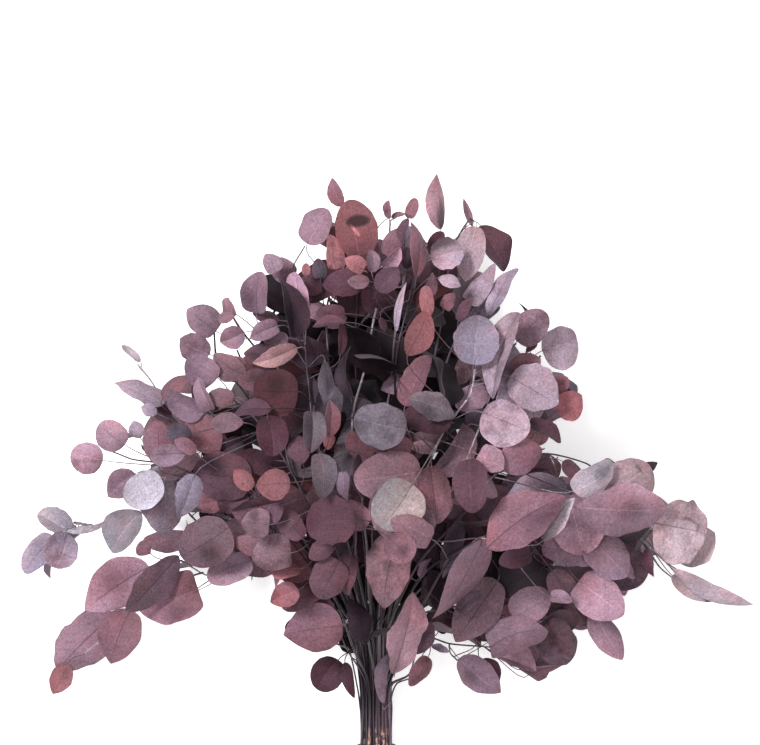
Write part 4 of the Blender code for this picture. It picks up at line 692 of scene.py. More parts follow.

# Painted shadows, and painted shade along creases, on single leaves by where the leaf begins, with
# a pale scratch on the top leaf: place, side, two half sizes, strength (below zero it lightens)
# and crispness
SCRATCH = [(0.57 - 0.025 * k, -0.15 + 0.04 * k, 0.03, 0.055, -0.9, 2.0) for k in range(9)]
LEAF_SHADOWS_AND_SCRATCH = {
    (-15, 440): [(0.62, 0.2, 0.11, 0.6, 0.8, 5.0), *SCRATCH],
    (58, 464): [(0.1, 0.3, 0.42, 0.7, 0.72, 2.5)],
    (50, 437): [(0.45, -0.8, 0.4, 0.42, 0.6, 2.5)],
    (-190, 238): [(0.0, 0.0, 0.5, 2.0, 0.72, 1.5)],
    (195, 184): [(0.1, -0.3, 0.3, 0.8, 0.25, 1.5)],
    (250, 200): [(0.6, -0.34, 0.2, 0.06, 0.5, 3.0), (0.82, -0.1, 0.03, 0.3, 0.4, 3.0)],
    (205, 221): [(0.8, -0.3, 0.03, 0.35, 0.5, 3.0), (0.6, 0.62, 0.2, 0.05, 0.4, 3.0)],
}

# Other leaves: how many have a painted shadow spot or blotches, and where a shadow spot is, its
# half sizes, strength and crispness
SHADOW_SPOT_SHARE = 0.3
SHADOW_SPOT_PLACES = (0.25, 0.9)
SHADOW_SPOT_SIDES = (-0.8, 0.8)
SHADOW_SPOT_HALVES = (0.2, 0.5)
SHADOW_SPOT_STRENGTHS = (0.25, 0.55)
SHADOW_SPOT_CRISP = 1.5
BLOTCHED_SHARE = 0.15
BLOTCHES = (0.2, 0.6)

# How light and how warm a leaf is beside its tone
LEAF_LEVELS = (0.97, 1.15)
LEAF_WARMTH = 0.035

# Fine blades: places across (share of the half width) and rows along, for large, usual and small
# blades and for those with crisp painted shadows
FINE_ACROSS = (-1.0, -0.86, -0.64, -0.4, -0.18, -0.05, 0.0, 0.05, 0.18, 0.4, 0.64, 0.86, 1.0)
FINE_ROWS = 20
LARGE_AREA = 1100.0
PLAIN_ACROSS = (-1.0, -0.66, -0.3, -0.06, 0.0, 0.06, 0.3, 0.66, 1.0)
PLAIN_ROWS = 14
SMALL_ACROSS = (-1.0, -0.55, -0.1, 0.0, 0.1, 0.55, 1.0)
SMALL_ROWS = 9
SMALL_AREA = 420.0
CRISP_SHADOW_ACROSS = np.linspace(-1, 1, 33)
CRISP_SHADOW_ROWS = 48
CRISP = 2.0

# Their size beside the plain blade, half thickness, parts that curl, twist and make lobes, and
# the midrib, raised below and a little sunk above
GROWN = 1.04
FINE_LEAST_HALF = 0.45
MIDDLE_HALF = 0.25
EDGE_HALF = 0.13
CURL_FROM = 0.55
CURL_RUN = 0.45
TWIST_FROM = 0.4
LOBE_RUN = 0.42
RIB_HEIGHT = 0.42
RIB_HALF = 0.7
RIB_FADE = 0.8
RIB_SUNK = 0.35
FLOOR_GAP = 0.1

# Fine stems, stalks and side shoots
FINE_STEM = 0.76
FINE_TWIG = 0.9
FINE_STEP = 5.0
FINE_SIDES = 8
STALK_SIDES = 5
STALK_POINTS = 6
STALK_ROOT = 0.6
STALK_END = 0.36
STALK_TIP = 0.2
STALK_BOWS = (0.35, 0.3)
STALK_BOW_MOST = 12.0
STALK_IN_BLADE = 0.1
CUT_EDGES = (0.4, 1.3)
CUT_BEVEL = 0.88
KNUCKLE = 0.3
KNUCKLE_REACH = 3.0
JOINT_SWELL = 0.22
JOINT_PITCH = 24
STEM_WOBBLE = 0.9
WOBBLE_FROM = 8
WOBBLE_RUN = 30
WOBBLE_SHARES = (0.3, 0.7)
WOBBLE_PITCHES = (13, 17)
STEM_SCALES = (0.72, 1.1)
STEM_LEVELS = (0.6, 1.5)
SHOOT_START = (-12.0, 40.0)
SHOOT_END = (90.0, 150.0)
SHOOT_SHARE = 0.85
SHOOT_LEAST = 4
SHOOT_ASIDE = (3.0, 9.0)
SHOOT_LIFT = (1.5, 6.0)
SHOOT_SWINGS = (1.2, 2.6)
SHOOT_ARCH = 2.4
SHOOT_LEVELS = (1.0, 1.8)
SHOOT_RADIUS = 1.0
SHOOT_TAPER = 0.55
SHOOT_STEP = 4.0

# A fine shape that crosses another piece is made again with these shares of its folds, waves
# and bows. Below zero a blade is flat and smaller, and a side shoot goes to the other side
EASES = (1.0, 0.8, 0.6, 0.4, 0.2, 0.0)
BLADE_EASES = EASES + (-1.5, -3.0, -4.5, -6.0)
SHOOT_EASES = (1.0, -1.0, 0.7, -0.7, 0.45, -0.45)
EASED_PARTS = ("fold", "cup", "wave", "curl", "twist", "sway")

# Colours of the bark, shares of bark and leaf tone in a stalk, and the stems that turn pale
BARK = [(0.029, 0.017, 0.027), (0.023, 0.014, 0.021), (0.05, 0.031, 0.046), (0.019, 0.011, 0.018)]
STALK_MIX = (0.6, 0.4)
PALE_STEMS = ("low_left", "left_pale_stem", "light_stem", "right_heart", "right_pale_heart",
              "far_left", "far_right", "far_right_pleated")
PALE_BARK = (0.24, 0.2, 0.225)

# Edges that meet at more than this angle stay sharp
SHARP_ANGLE = math.radians(62)

# The floor, the lamps (name, place, size and power) and the camera
FLOOR_COLOUR = (0.9, 0.895, 0.9)
FLOOR_HALF = 8.0
FLOOR_GLOW = 0.5
WORLD_COLOUR = (1.0, 0.985, 0.99)
WORLD_STRENGTH = 0.36
LAMPS = [
    ("key", (-0.95, 0.85, 2.1), 0.5, 58.0),
    ("fill", (0.25, -0.1, 2.5), 1.8, 30.0),
]
LAMP_TARGET = (0, 0.08, 0.1)
LENS = 85.0
SENSOR = 36.0


def smooth(share):
    """Ease from 0 to 1."""
    share = min(1.0, max(0.0, share))
    return share * share * (3 - 2 * share)


def between(table, value):
    """The number that a table of (value, number) pairs gives in between its rows."""
    for (low, first), (high, last) in zip(table, table[1:]):
        if value < high:
            share = max(0.0, value - low) / (high - low)
            return first + (last - first) * share
    return table[-1][1]


def spot(x, y, z):
    """Position of a place that is seen from the eye at (x, y), at height z."""
    shrink = 1 - (z - EYE_PLANE) / EYE_DISTANCE
    return Vector((EYE_X + (x - EYE_X) * shrink, EYE_Y + (y - EYE_Y) * shrink, z))


def seen(point):
    """The place (x, y) at which the eye sees a position."""
    shrink = 1 - (point[2] - EYE_PLANE) / EYE_DISTANCE
    return (EYE_X + (point[0] - EYE_X) / shrink, EYE_Y + (point[1] - EYE_Y) / shrink)


def away(point):
    """Direction from the eye through a position."""
    eye = Vector((EYE_X, EYE_Y, EYE_PLANE + EYE_DISTANCE))
    return (Vector(point) - eye).normalized()


def heights(x, y):
    """Heights of the foliage's back and front at a place."""
    rise = smooth((y - TIE_Y) / (FOLIAGE_FULL_Y - TIE_Y))
    across = ((x - FOLIAGE_X) / between(FOLIAGE_WIDTHS, y)) ** 2
    along = (max(0.0, y - FOLIAGE_Y) / FOLIAGE_REACH) ** 2
    swell = math.sqrt(max(0.0, 1 - across - along))
    axis = AXIS_LOW + AXIS_RISE * rise
    front = axis + (FRONT_LOW + FRONT_RISE * rise) * swell
    back = max(FLOOR_CLEARANCE, axis - (BACK_LOW + BACK_RISE * rise) * swell)
    return back, front


def place(x, y, share):
    """Position at a share of the way from the foliage's back to its front."""
    back, front = heights(x, y)
    return spot(x, y, back + share * (front - back))


def bundle_slots():
    """Honeycomb places of the stems in the tied bundle, as (x, z) from its centre."""
    slots = []
    for row in range(-SLOT_ROWS, SLOT_ROWS + 1):
        for column in range(-SLOT_COLUMNS, SLOT_COLUMNS + 1):
            x = SLOT_PITCH * (column + row / 2)
            z = SLOT_PITCH * row * math.sqrt(3) / 2
            if math.hypot(x, z) < SLOT_PITCH * SLOT_REACH:
                slots.append((x, z))
    return slots


def match_slots(slots):
    """Give each spray the slot that keeps the fan of stems from crossing."""
    slopes = []
    for _, route, _ in SPRAYS:
        first = place(*route[0])
        run = first.y - HOLD_Y
        slopes.append((first.x / run, (first.z - TIE_HEIGHT) / run))
    order = sorted(range(len(SPRAYS)), key=lambda index: (slopes[index][1], slopes[index][0]))
    chosen = [None] * len(SPRAYS)
    for slot, index in zip(sorted(slots, key=lambda item: (item[1], item[0])), order):
        chosen[index] = slot
    changed = True
    while changed:
        changed = False
        for one in range(len(chosen)):
            for two in range(one + 1, len(chosen)):
                gap_x = chosen[one][0] - chosen[two][0]
                gap_z = chosen[one][1] - chosen[two][1]
                turn_x = slopes[one][0] - slopes[two][0]
                turn_z = slopes[one][1] - slopes[two][1]
                if gap_x * turn_x + gap_z * turn_z < -1e-6:
                    chosen[one], chosen[two] = chosen[two], chosen[one]
                    changed = True
    return chosen


def neck(x, z, first):
    """Where a stem from a slot of the bundle passes the neck, on its way to its first point."""
    height = TIE_HEIGHT + z
    share = (NECK_Y - HOLD_Y) / (first.y - HOLD_Y)
    return Vector((x * NECK_SPREAD, NECK_Y,
                   height + (first.z - height) * share * NECK_TURN + z * (NECK_RISE - 1)))


def stem_lines():
    """All stems and then all twigs, as lines."""
    draw = random.Random(STEM_SEED)
    slots = bundle_slots()
    chosen = match_slots(slots)
    lowest = min(slot[1] for slot in slots)
    cut_height = STEM_RADIUS + CUT_LIFT - lowest * CUT_SPREAD
    lines = []
    for owner, (_, route, _) in enumerate(SPRAYS):
        x, z = chosen[owner]
        cut = Vector((x * CUT_SPREAD, CUT_Y + draw.uniform(0, CUT_STAGGER),
                      cut_height + z * CUT_SPREAD))
        points = [cut, Vector((x, TIE_Y - TIE_START, TIE_HEIGHT + z)),
                  Vector((x, HOLD_Y, TIE_HEIGHT + z))]
        if route[0][1] > NECK_Y + NECK_ROOM:
            points.append(neck(x, z, place(*route[0])))
        points += [place(*item) for item in route]
        lines.append(make_line(owner, points, STEM_RADIUS, TIP_RADIUS, HELD_POINTS, None,
                               STEM_SIDES))
    for owner, (_, _, twigs) in enumerate(SPRAYS):
        for twig in twigs:
            points = [place(*item) for item in twig]
            line = make_line(owner, points, TWIG_RADIUS, TWIG_TIP_RADIUS, 0, owner, TWIG_SIDES)
            line["points"][0] = nearest_on(lines[owner]["points"], points[0])
            lines.append(line)
    return lines


def make_line(owner, points, first_radius, last_radius, fixed, parent, sides):
    """A stem or twig whose radius falls past its fixed points, soon at first."""
    lengths = [0.0]
    for start, end in zip(points, points[1:]):
        lengths.append(lengths[-1] + (end - start).length)
    start_length = lengths[max(0, fixed - 1)]
    radii = []
    for length in lengths:
        share = max(0.0, length - start_length) / (lengths[-1] - start_length)
        radii.append(first_radius + (last_radius - first_radius) * share ** TAPER)
    return {"owner": owner, "points": points, "radii": radii, "fixed": fixed,
            "parent": parent, "sides": sides}


def nearest_on(points, target):
    """Nearest position to the target on a line of points."""
    best = None
    for start, end in zip(points, points[1:]):
        run = end - start
        share = min(1.0, max(0.0, (target - start).dot(run) / run.length_squared))
        near = start + run * share
        if best is None or (near - target).length < (best - target).length:
            best = near
    return best


def line_samples(lines, step):
    """Samples along the lines: position, radius, line, segment, share of the segment."""
    samples = []
    for number, line in enumerate(lines):
        points = line["points"]
        radii = line["radii"]
        for segment in range(len(points) - 1):
            run = points[segment + 1] - points[segment]
            count = max(1, int(run.length / step))
            for k in range(count):
                share = k / count
                radius = radii[segment] * (1 - share) + radii[segment + 1] * share
                samples.append((points[segment] + run * share, radius, number, segment, share))
        samples.append((points[-1].copy(), radii[-1], number, len(points) - 2, 1.0))
    return samples


def search_tree(positions):
    """A search tree of positions, numbered as they come."""
    tree = KDTree(len(positions))
    for index, position in enumerate(positions):
        tree.insert(position, index)
    tree.balance()
    return tree


def pushes(lines):
    """How far each point of each line is pushed by lines too near it, and the most room lacked."""
    samples = line_samples(lines, SPREAD_STEP)
    tree = search_tree([sample[0] for sample in samples])
    moves = [[Vector((0, 0, 0)) for _ in line["points"]] for line in lines]
    worst = 0.0
    for position, radius, number, segment, share in samples:
        if segment < HELD_POINTS - 1 or (segment == HELD_POINTS - 1 and share < HELD_SHARE):
            continue
        for other_position, other_index, distance in tree.find_range(position, SPREAD_REACH):
            _, other_radius, other_number, _, _ = samples[other_index]
            if lines[other_number]["owner"] == lines[number]["owner"]:
                continue
            needed = radius + other_radius + STEM_CLEARANCE
            if distance >= needed:
                continue
            worst = max(worst, needed - distance)
            push = position - other_position
            if push.length < 1e-6:
                push = Vector((0, 0, 1 if number > other_number else -1))
            push = push.normalized() * (needed - distance) * SPREAD_SHARE
            moves[number][segment] += push * (1 - share)
            moves[number][segment + 1] += push * share
    return moves, worst


def spread_lines(lines):
    """Bend stems and twigs clear of each other, each by its movable points."""
    for _ in range(SPREAD_ROUNDS):
        moves, worst = pushes(lines)
        for number, line in enumerate(lines):
            for index in range(line["fixed"], len(line["points"])):
                if line["parent"] is not None and index == 0:
                    continue
                move = moves[number][index]
                if move.length > SPREAD_MOVE:
                    move = move.normalized() * SPREAD_MOVE
                point = line["points"][index] + move
                point.z = max(point.z, FLOOR_CLEARANCE + line["radii"][index] + LINE_LIFT)
                line["points"][index] = point
            if line["parent"] is not None:
                parent = lines[line["parent"]]
                line["points"][0] = nearest_on(parent["points"], line["points"][0])
        if worst < SPREAD_REST:
            break


def line_frames(points):
    """Side and up vectors at each point of a line, carried along without twist."""
    frames = []
    up = Vector((0, 0, 1))
    for index in range(len(points)):
        before = points[max(0, index - 1)]
        after = points[min(len(points) - 1, index + 1)]
        ahead = (after - before).normalized()
        side = ahead.cross(up)
        if side.length < 1e-4:
            side = ahead.cross(Vector((1, 0, 0)))
        side.normalize()
        up = side.cross(ahead).normalized()
        frames.append((side, up))
    return frames


def tube(points, radii, sides):
    """Closed tube along a line, as vertices and triangles."""
    vertices = []
    triangles = []
    for point, radius, (side, up) in zip(points, radii, line_frames(points)):
        for k in range(sides):
            angle = 2 * math.pi * k / sides - math.pi / 2
            offset = side * math.cos(angle) + up * math.sin(angle)
            vertices.append(point + offset * radius)
    for ring in range(len(points) - 1):
        for k in range(sides):
            a = ring * sides + k
            b = ring * sides + (k + 1) % sides
            triangles += [(a, b + sides, b), (a, a + sides, b + sides)]
    last = (len(points) - 1) * sides
    for k in range(1, sides - 1):
        triangles.append((0, k, k + 1))
        triangles.append((last, last + k + 1, last + k))
    return vertices, triangles


def ribbon(sections, tip, tip_half):
    """Closed blade through rectangular sections to a tip, as vertices and triangles.

    A section is a centre, a half width vector and a half thickness vector.
    """
    vertices = []
    for centre, half_width, half_thick in sections:
        vertices += [centre - half_width + half_thick, centre + half_width + half_thick,
                     centre + half_width - half_thick, centre - half_width - half_thick]
    vertices += [tip + tip_half, tip - tip_half]
    triangles = [(0, 2, 1), (0, 3, 2)]
    for index in range(len(sections) - 1):
        a = 4 * index
        b = a + 4
        triangles += [(a, a + 1, b + 1), (a, b + 1, b)]
        triangles += [(a + 3, b + 2, a + 2), (a + 3, b + 3, b + 2)]
        triangles += [(a, b + 3, a + 3), (a, b, b + 3)]
        triangles += [(a + 1, a + 2, b + 2), (a + 1, b + 2, b + 1)]
    a = 4 * (len(sections) - 1)
    top = len(vertices) - 2
    bottom = top + 1
    triangles += [(a, a + 1, top), (a + 3, bottom, a + 2)]
    triangles += [(a, bottom, a + 3), (a, top, bottom)]
    triangles += [(a + 1, a + 2, bottom), (a + 1, bottom, top)]
    return vertices, triangles


def blade_widths(leaf):
    """Shares of the length and of the width at the blade's sections."""
    if leaf["width"] >= WIDE_BLADE and leaf["kind"] == "seen":
        return WIDE_SECTIONS
    if leaf["width"] * leaf["length"] < SMALL_BLADE:
        return SMALL_SECTIONS
    return USUAL_SECTIONS


def blade_point(leaf, share):
    """Middle of the blade, and its direction, at a share of its length."""
    turn = leaf["bend"] * (share - 0.5)
    ahead = leaf["axis"] * math.cos(turn) - leaf["normal"] * math.sin(turn)
    chord = share * leaf["length"]
    sag = leaf["bend"] * leaf["length"] * (share * share - share) * 0.5
    return leaf["base"] + leaf["axis"] * chord - leaf["normal"] * sag, ahead


def blade_sections(leaf, grow=0.0, first=0.0):
    """Rectangular sections of the blade, and its tip."""
    half = BLADE_THICKNESS / 2 + grow
    sections = []
    for share, width in blade_widths(leaf):
        if share < first:
            share = first
            width = BLADE_START_WIDTH
        centre, ahead = blade_point(leaf, share)
        normal = leaf["wide"].cross(ahead).normalized()
        half_width = max(BLADE_LEAST_HALF, width * leaf["width"] / 2) + grow
        sections.append((centre, leaf["wide"] * half_width, normal * half))
    tip, ahead = blade_point(leaf, 1.0)
    normal = leaf["wide"].cross(ahead).normalized()
    return sections, tip + ahead * grow, normal * half


def blade_room(leaf):
    """The room that a blade needs past its base, for a clearance test."""
    return ribbon(*blade_sections(leaf, LEAF_CLEARANCE, BLADE_START))


def set_leaf(leaf, z):
    """Put a leaf at height z, keeping the place where it is seen."""
    base_x, base_y, tip_x, tip_y = leaf["as_seen"]
    middle = spot((base_x + tip_x) / 2, (base_y + tip_y) / 2, z)
    shrink = 1 - (z - EYE_PLANE) / EYE_DISTANCE
    flat = Vector((tip_x - base_x, tip_y - base_y, 0)) * shrink
    flat_length = flat.length
    ahead = flat.normalized()
    pitch = leaf["pitch"]
    axis = ahead * math.cos(pitch) + Vector((0, 0, math.sin(pitch)))
    level = ahead.cross(Vector((0, 0, 1))).normalized()
    straight_up = level.cross(axis).normalized()
    roll = leaf["roll"]
    leaf["axis"] = axis
    leaf["wide"] = (level * math.cos(roll) + straight_up * math.sin(roll)).normalized()
    leaf["normal"] = leaf["wide"].cross(axis).normalized()
    leaf["length"] = flat_length / math.cos(pitch) * leaf["scale"]
    leaf["width"] = leaf["true_width"] * shrink * leaf["scale"]
    leaf["base"] = middle - axis * leaf["length"] / 2


def seen_leaf(row, draw):
    """A leaf from its row: turned about its midrib or tipped so that it looks as it is seen."""
    tone, base_x, base_y, tip_x, tip_y, width, depth = row[:7]
    length = math.hypot(tip_x - base_x, tip_y - base_y)
    pitch = draw.uniform(-LOOSE_TURN, LOOSE_TURN)
    roll = draw.uniform(-LOOSE_TURN, LOOSE_TURN)
    true_width = width
    if width < NARROW * length:
        true_width = min(NARROW * length, width / math.cos(MAX_TURN))
        roll = math.copysign(math.acos(width / true_width), draw.uniform(-1, 1))
    elif width > SHORT * length:
        true_length = min(width / SHORT, length / math.cos(MAX_TURN))
        pitch = math.copysign(math.acos(length / true_length), draw.uniform(-1, 0.6))
    return {"tone": tone, "as_seen": (base_x, base_y, tip_x, tip_y), "true_width": true_width,
            "pitch": pitch, "roll": roll, "bend": draw.uniform(*SEEN_BENDS), "scale": 1.0,
            "depth": depth * DEPTH_SCALE, "kind": "seen",
            "form": row[ROW_FORM] if len(row) > ROW_FORM else None}


def leaf_probe(leaf):
    """Positions spread over a blade."""
    probes = []
    for share in PROBE_SHARES:
        centre, _ = blade_point(leaf, share)
        half = leaf["width"] / 2 * PROBE_WIDTH * math.sqrt(max(0.0, 1 - (2 * share - 1) ** 2))
        for side in PROBE_SIDES:
            probes.append(centre + leaf["wide"] * half * side)
    return probes


class Crowd:
    """Everything placed so far, with a search tree for each piece."""

    def __init__(self):
        self.trees = []
        self.lows = []
        self.highs = []
        self.kinds = []
        self.owners = []
        self.loads = {}
        self.low_array = None
        self.high_array = None

    def add(self, shape, kind, owner):
        """Add a shape of a kind that belongs to the spray with the owner's number."""
        vertices, triangles = shape
        cloud = np.array([tuple(vertex) for vertex in vertices])
        self.trees.append(BVHTree.FromPolygons([tuple(v) for v in vertices], triangles))
        self.lows.append(cloud.min(axis=0))
        self.highs.append(cloud.max(axis=0))
        self.kinds.append(kind)
        self.owners.append(owner)
        self.low_array = None

    def near(self, low, high):
        """Numbers of the shapes whose boxes meet a box."""
        if not self.trees:
            return []
        if self.low_array is None:
            self.low_array = np.array(self.lows)
            self.high_array = np.array(self.highs)
        hits = np.all((self.low_array <= high) & (self.high_array >= low), axis=1)
        return np.nonzero(hits)[0]

    def touches(self, shape, skip=()):
        """True if the shape crosses anything but the skipped pairs of kind and owner."""
        vertices, triangles = shape
        cloud = np.array([tuple(vertex) for vertex in vertices])
        close = self.near(cloud.min(axis=0), cloud.max(axis=0))
        if len(close) == 0:
            return False
        tree = BVHTree.FromPolygons([tuple(v) for v in vertices], triangles)
        for index in close:
            if (self.kinds[index], self.owners[index]) in skip:
                continue
            if tree.overlap(self.trees[index]):
                return True
        return False

    def drop(self, leaf):
        """How far the leaf has to go down to be behind all leaves seen before it."""
        probes = leaf_probe(leaf)
        cloud = np.array([tuple(probe) for probe in probes])
        low = cloud.min(axis=0) - np.array(DROP_LOW)
        high = cloud.max(axis=0) + np.array(DROP_HIGH)
        needed = 0.0
        for index in self.near(low, high):
            if self.kinds[index] != "blade":
                continue
            for probe in probes:
                hit = self.trees[index].ray_cast(probe, away(probe))
                if hit[0] is not None:
                    needed = max(needed, hit[3])
        return needed


def base_half_width(leaf):
    """Half the width of the blade where the stalk meets it."""
    return max(BLADE_LEAST_HALF, blade_widths(leaf)[0][1] * leaf["width"] / 2)


def stalk_frame(leaf, root):
    """Directions of a stalk from a root: ahead, across and through; and at its blade's joint."""
    ahead = (leaf["base"] - root).normalized()
    side = (leaf["wide"] - ahead * leaf["wide"].dot(ahead)).normalized()
    joint_ahead = (ahead + leaf["axis"]).normalized()
    joint_thick = leaf["wide"].cross(joint_ahead).normalized()
    stretch = 1 / max(0.5, joint_ahead.dot(leaf["axis"]))
    return ahead, side, side.cross(ahead).normalized(), joint_thick * stretch


def stalk_shape(leaf, root, root_radius, grow):
    """Stalk from just outside a stem to a leaf's base, for a clearance test, or None."""
    base = leaf["base"]
    ahead, side, thick, joint_thick = stalk_frame(leaf, root)
    length = (base - root).length
    start = root_radius + STALK_START
    if length - start < STALK_LEAST:
        return None
    base_half = base_half_width(leaf)
    start_half = ROOT_WIDTH / 2 + (base_half - ROOT_WIDTH / 2) * start / length
    sections = [
        (root + ahead * start, side * (start_half + grow), thick * (ROOT_THICKNESS / 2 + grow)),
        (base, leaf["wide"] * (base_half + grow), joint_thick * (STALK_THICKNESS / 2 + grow)),
    ]
    tip, _ = blade_point(leaf, STALK_INTO_BLADE)
    return ribbon(sections, tip, leaf["normal"] * (BLADE_THICKNESS / 2 + grow))


def find_root(leaf, samples, tree, crowd, reach, limit=ROOT_LIMIT):
    """Best place on a stem for the leaf's stalk, with its spray and radius, or None."""
    base = leaf["base"]
    options = []
    for position, index, distance in tree.find_range(base, reach):
        radius, owner, tangent = samples[index]
        if distance < radius + ROOT_GAP:
            continue
        ahead = (base - position) / distance
        along_leaf = ahead.dot(leaf["axis"])
        along_stem = ahead.dot(tangent)
        if along_leaf < LEAST_AHEAD or abs(ahead.dot(leaf["wide"])) > MOST_ASIDE:
            continue
        cost = distance * (LENGTH_COST - AHEAD_GAIN * along_leaf)
        cost += BACK_COST * max(0.0, BACK_FROM - along_stem)
        cost += LOAD_COST * crowd.loads.get(owner, 0)
        options.append((cost, index, position))
    options.sort(key=lambda item: (item[0], item[1]))
    for _, index, position in options[:limit]:
        radius, owner, _ = samples[index]
        shape = stalk_shape(leaf, position, radius, LEAF_CLEARANCE)
        if shape is not None and not crowd.touches(shape, {("stem", owner)}):
            return position, owner, radius
    return None


def take_root(leaf, found):
    """Let a leaf grow from the place found for its stalk."""
    leaf["root"], leaf["owner"], leaf["root_radius"] = found


def settle(leaf, start, crowd, samples, tree):
    """Lower a leaf from its starting height until it and its stalk are clear."""
    z = start
    for _ in range(SETTLE_STEPS):
        set_leaf(leaf, z)
        for _ in range(DROP_ROUNDS):
            fall = crowd.drop(leaf)
            if fall <= 0:
                break
            z -= fall + DROP_GAP
            set_leaf(leaf, z)
        if min(probe.z for probe in leaf_probe(leaf)) < FLOOR_CLEARANCE + SETTLE_FLOOR:
            return False
        if not crowd.touches(blade_room(leaf)):
            found = find_root(leaf, samples, tree, crowd, STALK_REACH)
            if found is not None:
                take_root(leaf, found)
                return True
        z -= SETTLE_STEP
    return False


def settle_by_tries(leaf, start, crowd, samples, tree):
    """Settle a leaf as it is, or else turned, lifted or smaller as the tries say."""
    pitch = leaf["pitch"]
    roll = leaf["roll"]
    for scale, tip_turn, roll_turn, lift in TRIES:
        leaf["scale"] = scale
        leaf["pitch"] = pitch + tip_turn
        leaf["roll"] = roll + roll_turn
        if settle(leaf, start + lift, crowd, samples, tree):
            return True
    return False


def front_over(row):
    """Height of the foliage's front over the middle of a leaf's row."""
    return heights((row[1] + row[3]) / 2, (row[2] + row[4]) / 2)[1]


def keep(leaf, crowd):
    """Add a placed leaf to the crowd."""
    crowd.loads[leaf["owner"]] = crowd.loads.get(leaf["owner"], 0) + 1
    kind = "blade" if leaf["kind"] == "seen" else "back_blade"
    crowd.add(ribbon(*blade_sections(leaf)), kind, leaf["owner"])
    crowd.add(stalk_shape(leaf, leaf["root"], leaf["root_radius"], 0.0), "stalk", leaf["owner"])


def resting_leaf(row):
    """A flat leaf whose underside lies on the surface."""
    tone, base_x, base_y, tip_x, tip_y, width = row
    leaf = {"tone": tone, "bend": 0.0, "kind": "resting", "form": None}
    leaf["axis"] = Vector((tip_x - base_x, tip_y - base_y, 0)).normalized()
    leaf["wide"] = leaf["axis"].cross(Vector((0, 0, 1)))
    leaf["normal"] = Vector((0, 0, 1))
    leaf["length"] = math.hypot(tip_x - base_x, tip_y - base_y)
    leaf["width"] = width
    leaf["base"] = Vector((base_x, base_y, BLADE_THICKNESS / 2))
    return leaf


def cell(x, y):
    """The cell of the view that a place is in."""
    return (int(x // CELL), int(y // CELL))


def leaf_cells(leaf):
    """Cells of the view that a leaf covers."""
    cells = set()
    for along in range(CELL_ROWS + 1):
        share = along / CELL_ROWS
        centre, _ = blade_point(leaf, share)
        half = leaf["width"] / 2 * math.sqrt(max(0.0, 1 - (2 * share - 1) ** 2))
        for across in range(-CELL_SIDES, CELL_SIDES + 1):
            cells.add(cell(*seen(centre + leaf["wide"] * half * across / CELL_SIDES)))
    return cells


def inside_outline(x, y):
    """True if a place is inside the foliage's outline."""
    inside = False
    for index in range(len(OUTLINE)):
        ax, ay = OUTLINE[index - 1]
        bx, by = OUTLINE[index]
        if (ay > y) != (by > y) and x < ax + (y - ay) / (by - ay) * (bx - ax):
            inside = not inside
    return inside


def outline_cells():
    """Cells of the view inside the foliage's outline."""
    xs = [corner[0] for corner in OUTLINE]
    ys = [corner[1] for corner in OUTLINE]
    cells = set()
    for i in range(int(min(xs) // CELL), int(max(xs) // CELL) + 1):
        for j in range(int(min(ys) // CELL), int(max(ys) // CELL) + 1):
            if inside_outline((i + 0.5) * CELL, (j + 0.5) * CELL):
                cells.add((i, j))
    return cells


def filler_fits(leaf, allowed, crowd, room):
    """True if a leaf of the inside stays hidden where the view is open, and off the front."""
    for probe in leaf_probe(leaf):
        x, y = seen(probe)
        if cell(x, y) not in allowed:
            return False
        if probe.z > heights(x, y)[1] - room or probe.z < FLOOR_CLEARANCE + FILLER_FLOOR:
            return False
    return crowd.drop(leaf) <= 0


def filler_spots(lines, draw):
    """Places along the stems where leaves can grow: position, direction and side."""
    spots = []
    for line in lines:
        points = line["points"]
        travelled = draw.uniform(0, FILLER_SPACING)
        side = draw.uniform(0, 2 * math.pi)
        for segment in range(max(0, line["fixed"] - 1), len(points) - 1):
            run = points[segment + 1] - points[segment]
            while travelled < run.length:
                position = points[segment] + run * (travelled / run.length)
                if position.y > FILLER_FROM_Y:
                    spots.append((position, run.normalized(), side))
                travelled += FILLER_SPACING
                side += FILLER_SPIRAL
            travelled -= run.length
    draw.shuffle(spots)
    return spots


def filler_leaf(position, ahead, angle, draw):
    """A leaf that grows from a stem at an angle round it."""
    across = ahead.cross(Vector((0, 0, 1))).normalized()
    up = across.cross(ahead)
    out = across * math.cos(angle) + up * math.sin(angle)
    lean = draw.uniform(*FILLER_LEANS)
    axis = (ahead * math.cos(lean) + out * math.sin(lean)).normalized()
    length = draw.uniform(*FILLER_LENGTHS)
    width = length * draw.uniform(*FILLER_WIDTHS)
    base = position + axis * draw.uniform(*FILLER_STALKS)
    wide = axis.cross(ahead).normalized()
    tilt = draw.uniform(-FILLER_TILT, FILLER_TILT)
    wide = wide * math.cos(tilt) + axis.cross(wide) * math.sin(tilt)
    back, front = heights(base.x, base.y)
    depth = (front - base.z) / max(1.0, front - back)
    tones = INNER_TONES if INNER_DEPTHS[0] < depth < INNER_DEPTHS[1] else OUTER_TONES
    return {"tone": draw.choice(tones), "bend": draw.uniform(*FILLER_BENDS), "kind": "filler",
            "form": None, "width": width, "length": length, "axis": axis, "wide": wide,
            "normal": wide.cross(axis).normalized(), "base": base}


